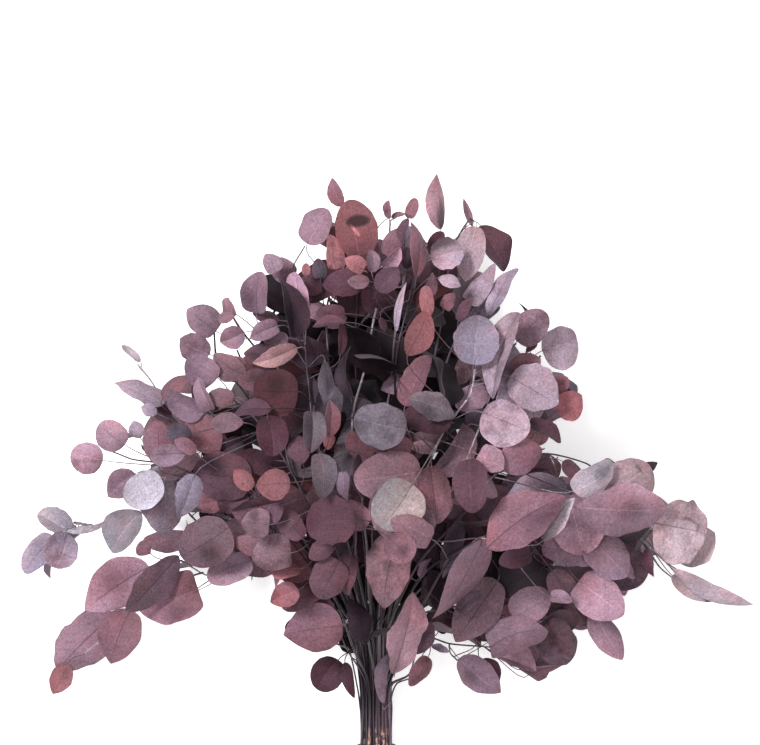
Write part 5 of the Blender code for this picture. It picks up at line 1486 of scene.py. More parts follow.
def filler_leaves(lines, leaves, crowd, samples, tree, draw, limit, shares, room, closed):
    """Leaves of the inside, back and underside, up to a limit, that leave closed cells free.

    They go first where the view is bare: the shares say how much of a leaf has to cover
    nothing that is covered yet. Room is how far they stay behind the front.
    """
    placed = []
    covered = set()
    for leaf in leaves:
        covered |= leaf_cells(leaf)
    allowed = covered | outline_cells()
    spots = filler_spots(lines, draw)
    for least in shares:
        for position, ahead, side in spots:
            if len(placed) >= limit:
                return placed
            for turn in range(FILLER_TURNS):
                leaf = filler_leaf(position, ahead, side + turn * FILLER_TURN, draw)
                cells = leaf_cells(leaf)
                if len(cells - covered) < least * len(cells):
                    continue
                if cells & closed or not filler_fits(leaf, allowed, crowd, room):
                    continue
                if crowd.touches(blade_room(leaf)):
                    continue
                found = find_root(leaf, samples, tree, crowd, FILLER_REACH, FILLER_ROOTS)
                if found is None:
                    continue
                take_root(leaf, found)
                keep(leaf, crowd)
                covered |= cells
                placed.append(leaf)
                break
    return placed


def root_places(lines):
    """Places where stalks may grow (radius, spray and direction), and their search tree."""
    samples = []
    positions = []
    for position, radius, number, segment, _ in line_samples(lines, ROOT_STEP):
        line = lines[number]
        tangent = (line["points"][segment + 1] - line["points"][segment]).normalized()
        if position.y > ROOTS_FROM_Y:
            positions.append(position)
            samples.append((radius, line["owner"], tangent))
    return samples, search_tree(positions)


def source_leaves(lines, crowd, samples, tree):
    """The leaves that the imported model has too."""
    draw = random.Random(LEAF_SEED)
    leaves = []
    for row in RESTING_LEAVES:
        leaf = resting_leaf(row)
        found = find_root(leaf, samples, tree, crowd, RESTING_REACH)
        if found is not None and not crowd.touches(blade_room(leaf)):
            take_root(leaf, found)
            keep(leaf, crowd)
            leaves.append(leaf)
    for row in sorted(LEAVES, key=lambda item: item[ROW_DEPTH]):
        leaf = seen_leaf(row, draw)
        if settle_by_tries(leaf, front_over(row) - leaf["depth"], crowd, samples, tree):
            keep(leaf, crowd)
            leaves.append(leaf)
    return leaves + filler_leaves(lines, leaves, crowd, samples, tree, draw, FILLER_LIMIT,
                                  (GAP_SHARE, 0.0), FILLER_ROOM, set())


def lay_out():
    """Stems, twigs and leaves of the whole bunch, each clear of the others."""
    lines = stem_lines()
    spread_lines(lines)
    crowd = Crowd()
    for line in lines:
        for segment in range(len(line["points"]) - 1):
            ends = slice(segment, segment + 2)
            crowd.add(tube(line["points"][ends], line["radii"][ends], line["sides"]), "stem",
                      line["owner"])
    samples, tree = root_places(lines)
    leaves = source_leaves(lines, crowd, samples, tree)
    draw = random.Random(EXTRA_SEED)
    leaves += detail_leaves(crowd, samples, tree, draw)
    leaves += gap_leaves(leaves, crowd, samples, tree, draw, GAP_LEAF_DEPTHS, 1.0,
                         cells_in(BARE_STEMS) | cells_in(BARE_RIGHT))
    leaves += gap_leaves(leaves, crowd, samples, tree, draw, BACKING_DEPTHS, BACKING_SHARE,
                         cells_in(BARE_BUNDLE))
    leaves += filler_leaves(lines, leaves, crowd, samples, tree, draw, EXTRA_LEAVES,
                            EXTRA_SHARES, EXTRA_ROOM, cells_in(BARE_STEMS))
    return lines, leaves


def cells_in(box):
    """Cells of the view in a box: left, low, right, high."""
    left, low, right, high = box
    return {(i, j) for i in range(int(left // CELL), int(right // CELL) + 1)
            for j in range(int(low // CELL), int(high // CELL) + 1)}


def gap_leaves(leaves, crowd, samples, tree, draw, depths, share, closed):
    """Leaves behind the bare places inside the outline, facing the eye more or less.

    Only the given share of a leaf's width counts as cover, and closed cells stay free.
    """
    covered = set()
    for leaf in leaves:
        covered |= leaf_cells(dict(leaf, width=leaf["width"] * share))
    inside = outline_cells() - closed
    bare = sorted(inside - covered)
    draw.shuffle(bare)
    placed = []
    for spot_cell in bare:
        for _ in range(GAP_LEAF_TRIES):
            if spot_cell in covered:
                break
            x = (spot_cell[0] + 0.5) * CELL
            y = (spot_cell[1] + 0.5) * CELL
            angle = math.atan2(y, x) + draw.uniform(-GAP_LEAF_WAY, GAP_LEAF_WAY)
            half = draw.uniform(*GAP_LEAF_LENGTHS) / 2
            step_x = half * math.cos(angle)
            step_y = half * math.sin(angle)
            slide = draw.uniform(-GAP_LEAF_SLIDE, GAP_LEAF_SLIDE)
            x += step_x * slide
            y += step_y * slide
            row = ("plum", x - step_x, y - step_y, x + step_x, y + step_y,
                   2 * half * draw.uniform(*GAP_LEAF_WIDTHS), draw.uniform(*depths))
            leaf = seen_leaf(row, draw)
            leaf["pitch"] += draw.uniform(-GAP_LEAF_PITCH, GAP_LEAF_PITCH)
            leaf["roll"] += draw.uniform(-GAP_LEAF_ROLL, GAP_LEAF_ROLL)
            leaf["local"] = True
            if not settle(leaf, heights(x, y)[1] - leaf["depth"], crowd, samples, tree):
                continue
            cells = leaf_cells(leaf)
            if cells & closed or len(cells & (inside | covered)) < GAP_LEAF_INSIDE * len(cells):
                continue
            keep(leaf, crowd)
            covered |= cells
            placed.append(leaf)
    return placed


def turned(row, angle):
    """The row of a leaf turned about its middle."""
    middle_x = (row[1] + row[3]) / 2
    middle_y = (row[2] + row[4]) / 2
    half_x = (row[3] - row[1]) / 2
    half_y = (row[4] - row[2]) / 2
    x = half_x * math.cos(angle) - half_y * math.sin(angle)
    y = half_x * math.sin(angle) + half_y * math.cos(angle)
    return (row[0], middle_x - x, middle_y - y, middle_x + x, middle_y + y, *row[ROW_WIDTH:])


def front_leaf(row, crowd, samples, tree, draw):
    """A leaf let down from above until it nearly lies on those in front, or None.

    A round one may turn, to find the way for its stalk that lets it lie lowest.
    """
    start = front_over(row) + FRONT_START
    best = None
    for turn in range(FRONT_TURNS if row[ROW_FORM] == "round" else 1):
        leaf = seen_leaf(turned(row, turn * 2 * math.pi / FRONT_TURNS), draw)
        for step in range(FRONT_STEPS):
            z = start - step * FRONT_STEP
            set_leaf(leaf, z)
            if crowd.touches(blade_room(leaf)):
                break
            if best is not None and z >= best[0]:
                continue
            found = find_root(leaf, samples, tree, crowd, FRONT_REACH, FRONT_LIMIT)
            if found is not None:
                best = (z, found, leaf)
    if best is None:
        return None
    z, found, leaf = best
    set_leaf(leaf, z)
    take_root(leaf, found)
    return leaf


def detail_leaves(crowd, samples, tree, draw):
    """The listed leaves that only this script adds: in front of the others and behind them."""
    placed = []
    for row in FRONT_LEAVES:
        leaf = front_leaf(row, crowd, samples, tree, draw)
        if leaf is not None:
            keep(leaf, crowd)
            placed.append(leaf)
    for row in BEHIND_LEAVES:
        leaf = seen_leaf(row, draw)
        if settle(leaf, front_over(row) - leaf["depth"], crowd, samples, tree):
            keep(leaf, crowd)
            placed.append(leaf)
    return placed


class Mesh:
    """Vertices, faces and what the materials read, gathered for one object."""

    def __init__(self):
        self.vertices = []
        self.faces = []
        self.materials = []
        self.tones = []
        self.marks = []
        self.extras = []
        self.count = 0

    def add(self, vertices, faces, material, tones, marks, extras):
        """Add a closed shape. Tones, marks and extras hold a row for each vertex."""
        self.vertices.append(vertices)
        self.faces += [tuple(int(corner) + self.count for corner in face) for face in faces]
        self.materials += [material] * len(faces)
        self.tones.append(tones)
        self.marks.append(marks)
        self.extras.append(extras)
        self.count += len(vertices)

    def build(self, name, materials, shift):
        """The object, with its attributes and smooth shading."""
        vertices = (np.vstack(self.vertices) - shift) * MM
        mesh = bpy.data.meshes.new(name)
        mesh.from_pydata(vertices.tolist(), [], self.faces)
        for material in materials:
            mesh.materials.append(material)
        mesh.polygons.foreach_set("material_index", self.materials)
        mesh.polygons.foreach_set("use_smooth", [True] * len(self.faces))
        tones = np.vstack(self.tones)
        tones = np.hstack([tones, np.ones((len(tones), 1))])
        colour = mesh.attributes.new("tone", "FLOAT_COLOR", "POINT")
        colour.data.foreach_set("color", tones.astype(np.float32).ravel())
        for label, rows in (("marks", self.marks), ("extras", self.extras)):
            attribute = mesh.attributes.new(label, "FLOAT_VECTOR", "POINT")
            attribute.data.foreach_set("vector", np.vstack(rows).astype(np.float32).ravel())
        mesh.set_sharp_from_angle(angle=SHARP_ANGLE)
        mesh.update()
        obj = bpy.data.objects.new(name, mesh)
        bpy.context.scene.collection.objects.link(obj)
        return obj


def array(vector):
    """A vector as an array."""
    return np.array(tuple(vector))


def catmull(points, radii, step):
    """A smooth line through points, with radii, at about even steps."""
    points = [array(point) for point in points]
    padded = [2 * points[0] - points[1]] + points + [2 * points[-1] - points[-2]]
    line = []
    sizes = []
    for index in range(1, len(padded) - 2):
        before, start, end, after = padded[index - 1:index + 3]
        length = np.linalg.norm(end - start)
        ease_in = length / max(length, np.linalg.norm(start - before))
        ease_out = length / max(length, np.linalg.norm(after - end))
        turn_in = (end - before) / 2 * ease_in
        turn_out = (after - start) / 2 * ease_out
        count = max(1, int(round(length / step)))
        for k in range(count):
            t = k / count
            line.append((2 * t ** 3 - 3 * t ** 2 + 1) * start + (t ** 3 - 2 * t ** 2 + t) * turn_in
                        + (3 * t ** 2 - 2 * t ** 3) * end + (t ** 3 - t ** 2) * turn_out)
            sizes.append(radii[index - 1] * (1 - t) + radii[index] * t)
    line.append(points[-1])
    sizes.append(radii[-1])
    return np.array(line), np.array(sizes)


def round_tube(points, radii, sides, phase=0.0):
    """Vertices and faces of a closed tube along an array of points."""
    ahead = np.gradient(points, axis=0)
    ahead /= np.linalg.norm(ahead, axis=1)[:, None]
    up = np.array((0.0, 0.0, 1.0))
    angles = np.linspace(0, 2 * math.pi, sides, endpoint=False) + phase
    rings = []
    for point, direction, radius in zip(points, ahead, radii):
        side = np.cross(direction, up)
        if np.linalg.norm(side) < 1e-3:
            side = np.cross(direction, (1.0, 0.0, 0.0))
        side /= np.linalg.norm(side)
        up = np.cross(side, direction)
        ring = point + radius * (np.cos(angles)[:, None] * side + np.sin(angles)[:, None] * up)
        rings.append(ring)
    faces = []
    for ring in range(len(points) - 1):
        for k in range(sides):
            a = ring * sides + k
            b = ring * sides + (k + 1) % sides
            faces.append((a, a + sides, b + sides, b))
    faces.append(tuple(range(sides)))
    last = (len(points) - 1) * sides
    faces.append(tuple(last + k for k in reversed(range(sides))))
    return np.vstack(rings), faces


def eased(make, eases, kind, owner, crowd, needed=True):
    """The first of the versions of a shape that crosses no other piece.

    Where none is clear, a needed shape is the last of them and any other is None.
    """
    for ease in eases:
        shape = make(ease)
        clear = not crowd.touches(shape[:2], {("wood", owner)})
        if clear:
            break
    if not clear and not needed:
        return None
    crowd.add(shape[:2], kind, owner)
    return shape


def leaf_form(leaf, draw):
    """The form of a leaf: outline, folds and waves, and how its colour changes over it, painted
    shade and shadows included.
    """
    half = leaf["width"] / 2
    narrow = leaf["width"] < NARROW_SHARE * leaf["length"]
    usual = draw.choice(NARROW_FORMS if narrow else USUAL_FORMS)
    fold = draw.uniform(*FOLDS)
    if draw.random() < FOLDED_SHARE:
        fold = draw.uniform(*SHARP_FOLDS)
    # Painted shadow: a soft dark spot on some leaves; the listed single leaves take their own
    # painted shadows and crease shade instead
    strength = draw.uniform(*SHADOW_SPOT_STRENGTHS) if draw.random() < SHADOW_SPOT_SHARE else 0.0
    spots = [(draw.uniform(*SHADOW_SPOT_PLACES), draw.uniform(*SHADOW_SPOT_SIDES), *SHADOW_SPOT_HALVES, strength,
              SHADOW_SPOT_CRISP)]
    if "as_seen" in leaf:
        spots = LEAF_SHADOWS_AND_SCRATCH.get(leaf["as_seen"][:2], spots)
    form = {part: draw.uniform(*limits) for part, limits in FORM_RANGES.items()}
    form["fold"] = min(fold, FOLD_REACH / half)
    form["wave"] *= half
    form["spots"] = spots
    for part, usual_size in zip(OUTLINE_PARTS, FORMS[leaf["form"] or usual]):
        form[part] *= usual_size
    if leaf["form"]:
        for part in CALMED_PARTS:
            form[part] *= CALM
    return form


def blade_outline(places, share, form):
    """Share of the half width at places along a blade, on the side that share gives."""
    rounding = form["base_round"] + (form["tip_round"] - form["base_round"]) * places
    rise = np.sin(np.pi * np.clip(places, 0, 1) ** form["low"])
    side = np.sign(share)
    uneven = 1 + form["lean"] * side + form["nicks"] * np.sin(
        2 * np.pi * form["nick_beat"] * places + form["left_phase"] + 1.7 * side)
    return np.clip(rise, 0, 1) ** rounding * uneven


def blade_tones(along, share, tone, form):
    """The tone at each vertex of a blade: painted shade at the base, one way lighter and the other
    darker as partly its own colour and partly painted shading, and painted shadow spots.
    """
    way = (np.cos(form["fade_way"]) * (2 * along - 1) + np.sin(form["fade_way"]) * share)
    # Painted shading across the leaf, partly its own colour, and painted shade at its base
    level = 1 + form["fade"] * way - form["base_shade"] * np.clip(1 - along / 0.6, 0, 1) ** 2
    # Painted shadows: each spot darkens the tone round its place, and the scratch, with strength
    # below zero, lightens it
    for way_along, side, half_along, half_across, strength, crisp in form["spots"]:
        reach = ((along - way_along) / half_along) ** 2 + ((share - side) / half_across) ** 2
        level = level * (1 - strength * np.exp(-reach ** crisp))
    warm = 1 + form["fade_warm"] * way
    rows = np.stack([tone[0] * level * warm, tone[1] * level, tone[2] * level / warm], axis=-1)
    return np.clip(rows, 0.004, 0.9).reshape(-1, 3)


def blade_grid(leaf, form):
    """Places across a blade and rows along it, as fine as its size and its crisp painted shadows
    ask for.
    """
    area = leaf["width"] * leaf["length"]
    if form["spots"][0][5] > CRISP:
        return CRISP_SHADOW_ACROSS, CRISP_SHADOW_ROWS
    if area < SMALL_AREA:
        return SMALL_ACROSS, SMALL_ROWS
    if area > LARGE_AREA:
        return FINE_ACROSS, FINE_ROWS
    return PLAIN_ACROSS, PLAIN_ROWS


def blade_heights(leaf, form, length, half_width, side, along, share):
    """How far a blade rises from its plane by its bend, fold, cup, waves and curl."""
    phase = np.where(share < 0, form["left_phase"], form["right_phase"])
    waves = np.sin(2 * np.pi * form["beat"] * along + phase)
    height = leaf["bend"] * length * (along - along ** 2) * 0.5
    height = height + form["fold"] * (np.abs(side) - half_width / 2)
    height = height + form["cup"] * side ** 2 / half_width
    height = height + form["wave"] * share ** 2 * waves * np.sin(np.pi * along) ** 0.5
    return height + form["curl"] * length * np.clip((along - CURL_FROM) / CURL_RUN, 0, 1) ** 2


def blade_faces(rows, columns):
    """Faces of a closed blade: of its two sides, and round the rim between them."""
    count = (rows + 1) * columns
    faces = []
    for row in range(rows):
        for column in range(columns - 1):
            a = row * columns + column
            b = a + columns
            faces.append((a, a + 1, b + 1, b))
            faces.append((count + a, count + b, count + b + 1, count + a + 1))
    rim = list(range(columns))
    rim += [row * columns + columns - 1 for row in range(1, rows + 1)]
    rim += [rows * columns + column for column in reversed(range(columns - 1))]
    rim += [row * columns for row in reversed(range(1, rows))]
    for index, a in enumerate(rim):
        b = rim[(index + 1) % len(rim)]
        faces.append((a, count + a, count + b, b))
    return faces


def blade_shape(leaf, form, ease):
    """A fine closed blade with a midrib, with that share of its folds and waves.

    Gives vertices, faces, marks, the places along and across, and if the first side is up.
    """
    across, rows = blade_grid(leaf, form)
    form = {**form, **{part: form[part] * max(ease, 0.0) for part in EASED_PARTS}}
    grown = 1 + (GROWN - 1) * ease
    length = leaf["length"] * grown
    half_width = leaf["width"] / 2 * grown
    places = (1 - np.cos(np.linspace(0, np.pi, rows + 1))) / 2
    share, along = np.meshgrid(np.array(across), places)
    half = np.maximum(blade_outline(along, share, form) * half_width, FINE_LEAST_HALF)
    side = share * half
    turn = form["twist"] * (along - TWIST_FROM)
    height = blade_heights(leaf, form, length, half_width, side, along, share)
    height = height + side * np.sin(turn)
    sideways = side * np.cos(turn) + form["sway"] * length * np.sin(np.pi * along)
    lobe_place = np.clip(along / LOBE_RUN, 0, 1)
    lobes = form["heart"] * length * np.abs(share) ** 1.4 * 4 * lobe_place * (1 - lobe_place)
    forward = along * length - lobes
    half_thick = MIDDLE_HALF - (MIDDLE_HALF - EDGE_HALF) * share ** 2
    rib = RIB_HEIGHT * np.exp(-(side / RIB_HALF) ** 2) * (1 - RIB_FADE * along)
    base, axis, wide, normal = (array(leaf[key]) for key in ("base", "axis", "wide", "normal"))

    def layer(lift):
        """One side of the blade, lifted off its middle."""
        return (base + forward[..., None] * axis + sideways[..., None] * wide
                + (height + lift)[..., None] * normal).reshape(-1, 3)

    up = leaf["normal"].z >= 0
    first = layer(half_thick - (RIB_SUNK * rib if up else -rib))
    second = layer(-half_thick - (rib if up else -RIB_SUNK * rib))
    lower, higher = (second, first) if up else (first, second)
    lower[:, 2] = np.maximum(lower[:, 2], FLOOR_GAP)
    higher[:, 2] = np.maximum(higher[:, 2], FLOOR_GAP + 2 * EDGE_HALF)
    marks = np.stack([side / length, along, np.abs(share)], axis=-1).reshape(-1, 3)
    return (np.vstack([first, second]), blade_faces(rows, len(across)), np.vstack([marks, marks]),
            along, share, up)


def add_blade(mesh, leaf, form, tone, extras, crowd):
    """A fine blade in place of the flat one, clear of the other pieces where it can be."""
    vertices, faces, marks, along, share, up = eased(
        lambda ease: blade_shape(leaf, form, ease), BLADE_EASES, "blade", leaf["owner"], crowd)
    rows_of_extras = np.tile(np.array(extras), (len(vertices), 1))
    rows_of_extras[:, 0] = np.repeat((0.0, 1.0) if up else (1.0, 0.0), share.size)
    tones = blade_tones(along, share, tone, form)
    mesh.add(vertices, faces, 0, np.vstack([tones, tones]), marks, rows_of_extras)


def stalk_tube(leaf, ease):
    """A thin stalk from the stem into the blade, with that share of its bow."""
    root = array(leaf["root"])
    base = array(leaf["base"])
    axis = array(leaf["axis"])
    gap = np.linalg.norm(base - root)
    leave = root + (base - root) * STALK_BOWS[0]
    bow = min(STALK_BOWS[1] * gap, STALK_BOW_MOST)
    arrive = base - (ease * axis + (1 - ease) * (base - root) / gap) * bow
    points = []
    for k in range(STALK_POINTS + 1):
        t = k / STALK_POINTS
        points.append((1 - t) ** 3 * root + 3 * (1 - t) ** 2 * t * leave
                      + 3 * (1 - t) * t ** 2 * arrive + t ** 3 * base)
    points.append(base + axis * leaf["length"] * STALK_IN_BLADE)
    radii = np.linspace(STALK_ROOT, STALK_END, STALK_POINTS + 2)
    radii[-1] = STALK_TIP
    return round_tube(np.array(points), radii, STALK_SIDES)


def add_plain_wood(mesh, shape, tone):
    """Wood of one tone throughout, with no cut end."""
    vertices, faces = shape
    mesh.add(vertices, faces, 1, np.tile(tone, (len(vertices), 1)), place_marks(vertices),
             np.zeros((len(vertices), 3)))


def add_stalk(mesh, leaf, tone, crowd):
    """A leaf's stalk, clear of the other pieces where it can be."""
    shape = eased(lambda ease: stalk_tube(leaf, ease), EASES, "wood", leaf["owner"], crowd)
    add_plain_wood(mesh, shape, np.array(BARK[1]) * STALK_MIX[0] + np.array(tone) * STALK_MIX[1])


def stem_wobble(points, phase, scale):
    """How a stem sways at each point: less in the bundle than past it, and not at its ends."""
    free = np.clip((points[:, 1] - TIE_Y - WOBBLE_FROM) / WOBBLE_RUN, 0, 1)
    wobble = np.stack([np.sin(points[:, 1] / WOBBLE_PITCHES[0] + phase), np.zeros(len(points)),
                       np.cos(points[:, 1] / WOBBLE_PITCHES[1] + 2 * phase)], axis=1)
    wobble *= (STEM_WOBBLE * (WOBBLE_SHARES[0] + WOBBLE_SHARES[1] * free) * scale)[:, None]
    wobble[0] = 0
    wobble[-1] = 0
    return wobble


def add_stem(mesh, line, name, roots, draw, crowd):
    """A smooth stem or twig with knuckles where leaves grow."""
    scale = FINE_STEM if line["parent"] is None else FINE_TWIG
    scale *= draw.uniform(*STEM_SCALES)
    points, radii = catmull(line["points"], line["radii"], FINE_STEP)
    radii = radii * scale
    if line["parent"] is None:
        ahead = (points[1] - points[0]) / np.linalg.norm(points[1] - points[0])
        points = np.vstack([points[:1], points[0] + ahead * CUT_EDGES[0],
                            points[0] + ahead * CUT_EDGES[1], points[1:]])
        radii = np.concatenate([radii[:1] * CUT_BEVEL, radii[:1], radii[:1], radii[1:]])
    swell = np.ones(len(points))
    for root in roots:
        near = np.linalg.norm(points - array(root), axis=1)
        swell *= 1 + KNUCKLE * np.exp(-(near / KNUCKLE_REACH) ** 2)
    phase = draw.uniform(0, 6.28)
    swell *= 1 + JOINT_SWELL * np.abs(np.sin(points[:, 1] / JOINT_PITCH + phase)) ** 24
    wobble = stem_wobble(points, phase, scale)
    vertices, faces = eased(
        lambda ease: round_tube(points + ease * wobble, radii * (1 + ease * (swell - 1)),
                                FINE_SIDES, phase), EASES, "wood", line["owner"], crowd)
    dark = np.array(BARK[draw.randrange(len(BARK))]) * draw.uniform(*STEM_LEVELS)
    share = np.repeat(np.linspace(0, 1, len(points)), FINE_SIDES)[:, None]
    outer = np.array(PALE_BARK) if name in PALE_STEMS else dark * 1.3
    tones = dark + (outer - dark) * np.clip(1.6 * share - 0.5, 0, 1)
    extras = np.zeros((len(vertices), 3))
    if line["parent"] is None:
        extras[:2 * FINE_SIDES, 1] = 1.0
    extras[:, 2] = draw.random() * (0.4 if name in PALE_STEMS else 1.0)
    mesh.add(vertices, faces, 1, tones, place_marks(vertices), extras)


def place_marks(vertices):
    """Marks of a stem or stalk: where it is along the bunch, in metres."""
    marks = np.zeros((len(vertices), 3))
    marks[:, 1] = vertices[:, 1] * MM
    return marks


def shoot_plan(line, draw):
    """A thin side shoot that runs up beside a stem in front of the bundle, or None."""
    points, _ = catmull(line["points"], line["radii"], FINE_STEP)
    low = draw.uniform(*SHOOT_START)
    high = draw.uniform(*SHOOT_END)
    own = points[(points[:, 1] > low) & (points[:, 1] < high)][::3]
    if len(own) < SHOOT_LEAST:
        return None
    share = np.linspace(0, 1, len(own))
    aside = draw.choice((-1, 1)) * draw.uniform(*SHOOT_ASIDE)
    lift = draw.uniform(*SHOOT_LIFT)
    swing = np.sin(share * draw.uniform(*SHOOT_SWINGS))
    tone = np.array(BARK[draw.randrange(len(BARK))]) * draw.uniform(*SHOOT_LEVELS)
    return own, share, aside * swing, lift * np.sin(share * SHOOT_ARCH), tone, line["owner"]


def shoot_tube(own, share, aside, lift, ease):
    """The shoot's tube with that share of its way aside, to the other side if below zero."""
    path = own + np.stack([aside * ease, np.zeros(len(own)), lift * abs(ease)], axis=1)
    path, radii = catmull(list(path), list(SHOOT_RADIUS - SHOOT_TAPER * share), SHOOT_STEP)
    return round_tube(path, radii, STALK_SIDES)


def add_shoot(mesh, plan, crowd):
    """A planned side shoot, where one of its versions is clear of the other pieces."""
    own, share, aside, lift, tone, owner = plan
    shape = eased(lambda ease: shoot_tube(own, share, aside, lift, ease), SHOOT_EASES, "wood",
                  owner, crowd, needed=False)
    if shape is not None:
        add_plain_wood(mesh, shape, tone)


class Nodes:
    """Short calls that add nodes to a material."""

    def __init__(self, name):
        self.material = bpy.data.materials.new(name)
        self.material.use_nodes = True
        self.tree = self.material.node_tree
        self.shader = self.tree.nodes["Principled BSDF"]

    def put(self, socket, value):
        """Link a socket or set a value."""
        if isinstance(value, bpy.types.NodeSocket):
            self.tree.links.new(value, socket)
        elif value is not None:
            socket.default_value = value

    def attribute(self, name, output="Vector"):
        """What the mesh says at a point under a name."""
        node = self.tree.nodes.new("ShaderNodeAttribute")
        node.attribute_name = name
        return node.outputs[output]

    def split(self, vector):
        """The three numbers of a vector."""
        node = self.tree.nodes.new("ShaderNodeSeparateXYZ")
        self.put(node.inputs[0], vector)
        return node.outputs

    def math(self, operation, a, b=None, c=None):
        """A sum, product or the like of up to three numbers."""
        node = self.tree.nodes.new("ShaderNodeMath")
        node.operation = operation
        for socket, value in zip(node.inputs, (a, b, c)):
            self.put(socket, value)
        return node.outputs[0]

    def ramp(self, value, low, high, first=0.0, last=1.0):
        """Smooth step of a value from first to last."""
        node = self.tree.nodes.new("ShaderNodeMapRange")
        node.interpolation_type = "SMOOTHSTEP"
        for socket, item in zip(node.inputs, (value, low, high, first, last)):
            self.put(socket, item)
        return node.outputs[0]

    def coordinates(self, scale):
        """Places on the object, scaled along each axis."""
        node = self.tree.nodes.new("ShaderNodeTexCoord")
        mapping = self.tree.nodes.new("ShaderNodeMapping")
        mapping.inputs["Scale"].default_value = scale
        self.put(mapping.inputs[0], node.outputs["Object"])
        return mapping.outputs[0]

    def noise(self, scale, detail, roughness=0.6, stretch=(1, 1, 1)):
        """Cloudy noise."""
        node = self.tree.nodes.new("ShaderNodeTexNoise")
        self.put(node.inputs["Vector"], self.coordinates(stretch))
        node.inputs["Scale"].default_value = scale
        node.inputs["Detail"].default_value = detail
        node.inputs["Roughness"].default_value = roughness
        return node.outputs["Fac"]

    def net(self, scale, wander):
        """Distance to the nearest line of a fine irregular net."""
        node = self.tree.nodes.new("ShaderNodeTexVoronoi")
        node.feature = "DISTANCE_TO_EDGE"
        node.inputs["Scale"].default_value = scale
        shifted = self.tree.nodes.new("ShaderNodeVectorMath")
        shifted.operation = "MULTIPLY_ADD"
        self.put(shifted.inputs[0], self.grey(wander))
        self.put(shifted.inputs[1], (0.006, 0.006, 0.006))
        self.put(shifted.inputs[2], self.coordinates((1, 1, 1)))
        self.put(node.inputs["Vector"], shifted.outputs[0])
        return node.outputs["Distance"]

    def mix(self, factor, a, b, mode="MIX"):
        """Two colours mixed."""
        node = self.tree.nodes.new("ShaderNodeMix")
        node.data_type = "RGBA"
        node.blend_type = mode
        node.clamp_factor = True
        self.put(node.inputs[0], factor)
        self.put(node.inputs[6], a)
        self.put(node.inputs[7], b)
        return node.outputs[2]

    def times(self, colour, tint):
        """A colour multiplied by another."""
        return self.mix(1.0, colour, tint, "MULTIPLY")

    def tinted(self, colour, factor, tint):
        """A colour multiplied by a tint as far as the factor says."""
        return self.mix(factor, colour, self.times(colour, tint))

    def grey(self, value):
        """A grey colour from a number."""
        node = self.tree.nodes.new("ShaderNodeCombineColor")
        for socket in node.inputs:
            self.put(socket, value)
        return node.outputs[0]

    def bump(self, height, strength, distance):
        """Give the shader's surface a relief."""
        node = self.tree.nodes.new("ShaderNodeBump")
        node.inputs["Strength"].default_value = strength
        node.inputs["Distance"].default_value = distance
        self.put(node.inputs["Height"], height)
        self.put(self.shader.inputs["Normal"], node.outputs[0])


def mottled(n, tone, broad, grain, fine, net):
    """A leaf's tone with stipple, warm patches and pale bloom."""
    shade = n.math("MULTIPLY_ADD", broad, 0.8, 0.6)
    shade = n.math("MULTIPLY_ADD", grain, 1.15, n.math("SUBTRACT", shade, 0.575))
    shade = n.math("MULTIPLY_ADD", fine, 1.0, n.math("SUBTRACT", shade, 0.5))
    shade = n.math("MULTIPLY_ADD", net, -0.2, n.math("ADD", shade, 0.02))
    colour = n.times(tone, n.grey(shade))
    warm = n.ramp(n.noise(33, 2.0, 0.5), 0.45, 0.7, 0.0, 0.8)
    colour = n.tinted(colour, warm, (1.12, 0.93, 0.9, 1))
    bloom = n.ramp(n.noise(95, 4.0, 0.75), 0.52, 0.75, 0.0, 0.35)
    return n.tinted(colour, bloom, (1.45, 1.6, 1.6, 1))


def vein_pattern(n, distance, along, broad, grain):
    """How far a place on a leaf is on its midrib or on a side vein."""
    slant = n.math("MULTIPLY_ADD", distance, -9.0, n.math("MULTIPLY", along, 12.0))
    wander = n.math("MULTIPLY_ADD", broad, 1.2, n.math("MULTIPLY_ADD", grain, 0.5, slant))
    wave = n.math("ABSOLUTE", n.math("SUBTRACT", n.math("FRACT", wander), 0.5))
    side_vein = n.ramp(wave, 0.0, 0.1, 1.0, 0.0)
    side_vein = n.math("MULTIPLY", side_vein, n.ramp(distance, 0.0, 0.3, 0.3, 0.12))
    midrib = n.ramp(distance, 0.004, 0.014, 1.0, 0.0)
    midrib = n.math("MULTIPLY", midrib, n.ramp(along, 0.65, 0.95, 0.7, 0.1))
    return n.math("MAXIMUM", midrib, n.math("MULTIPLY", side_vein, 0.7))


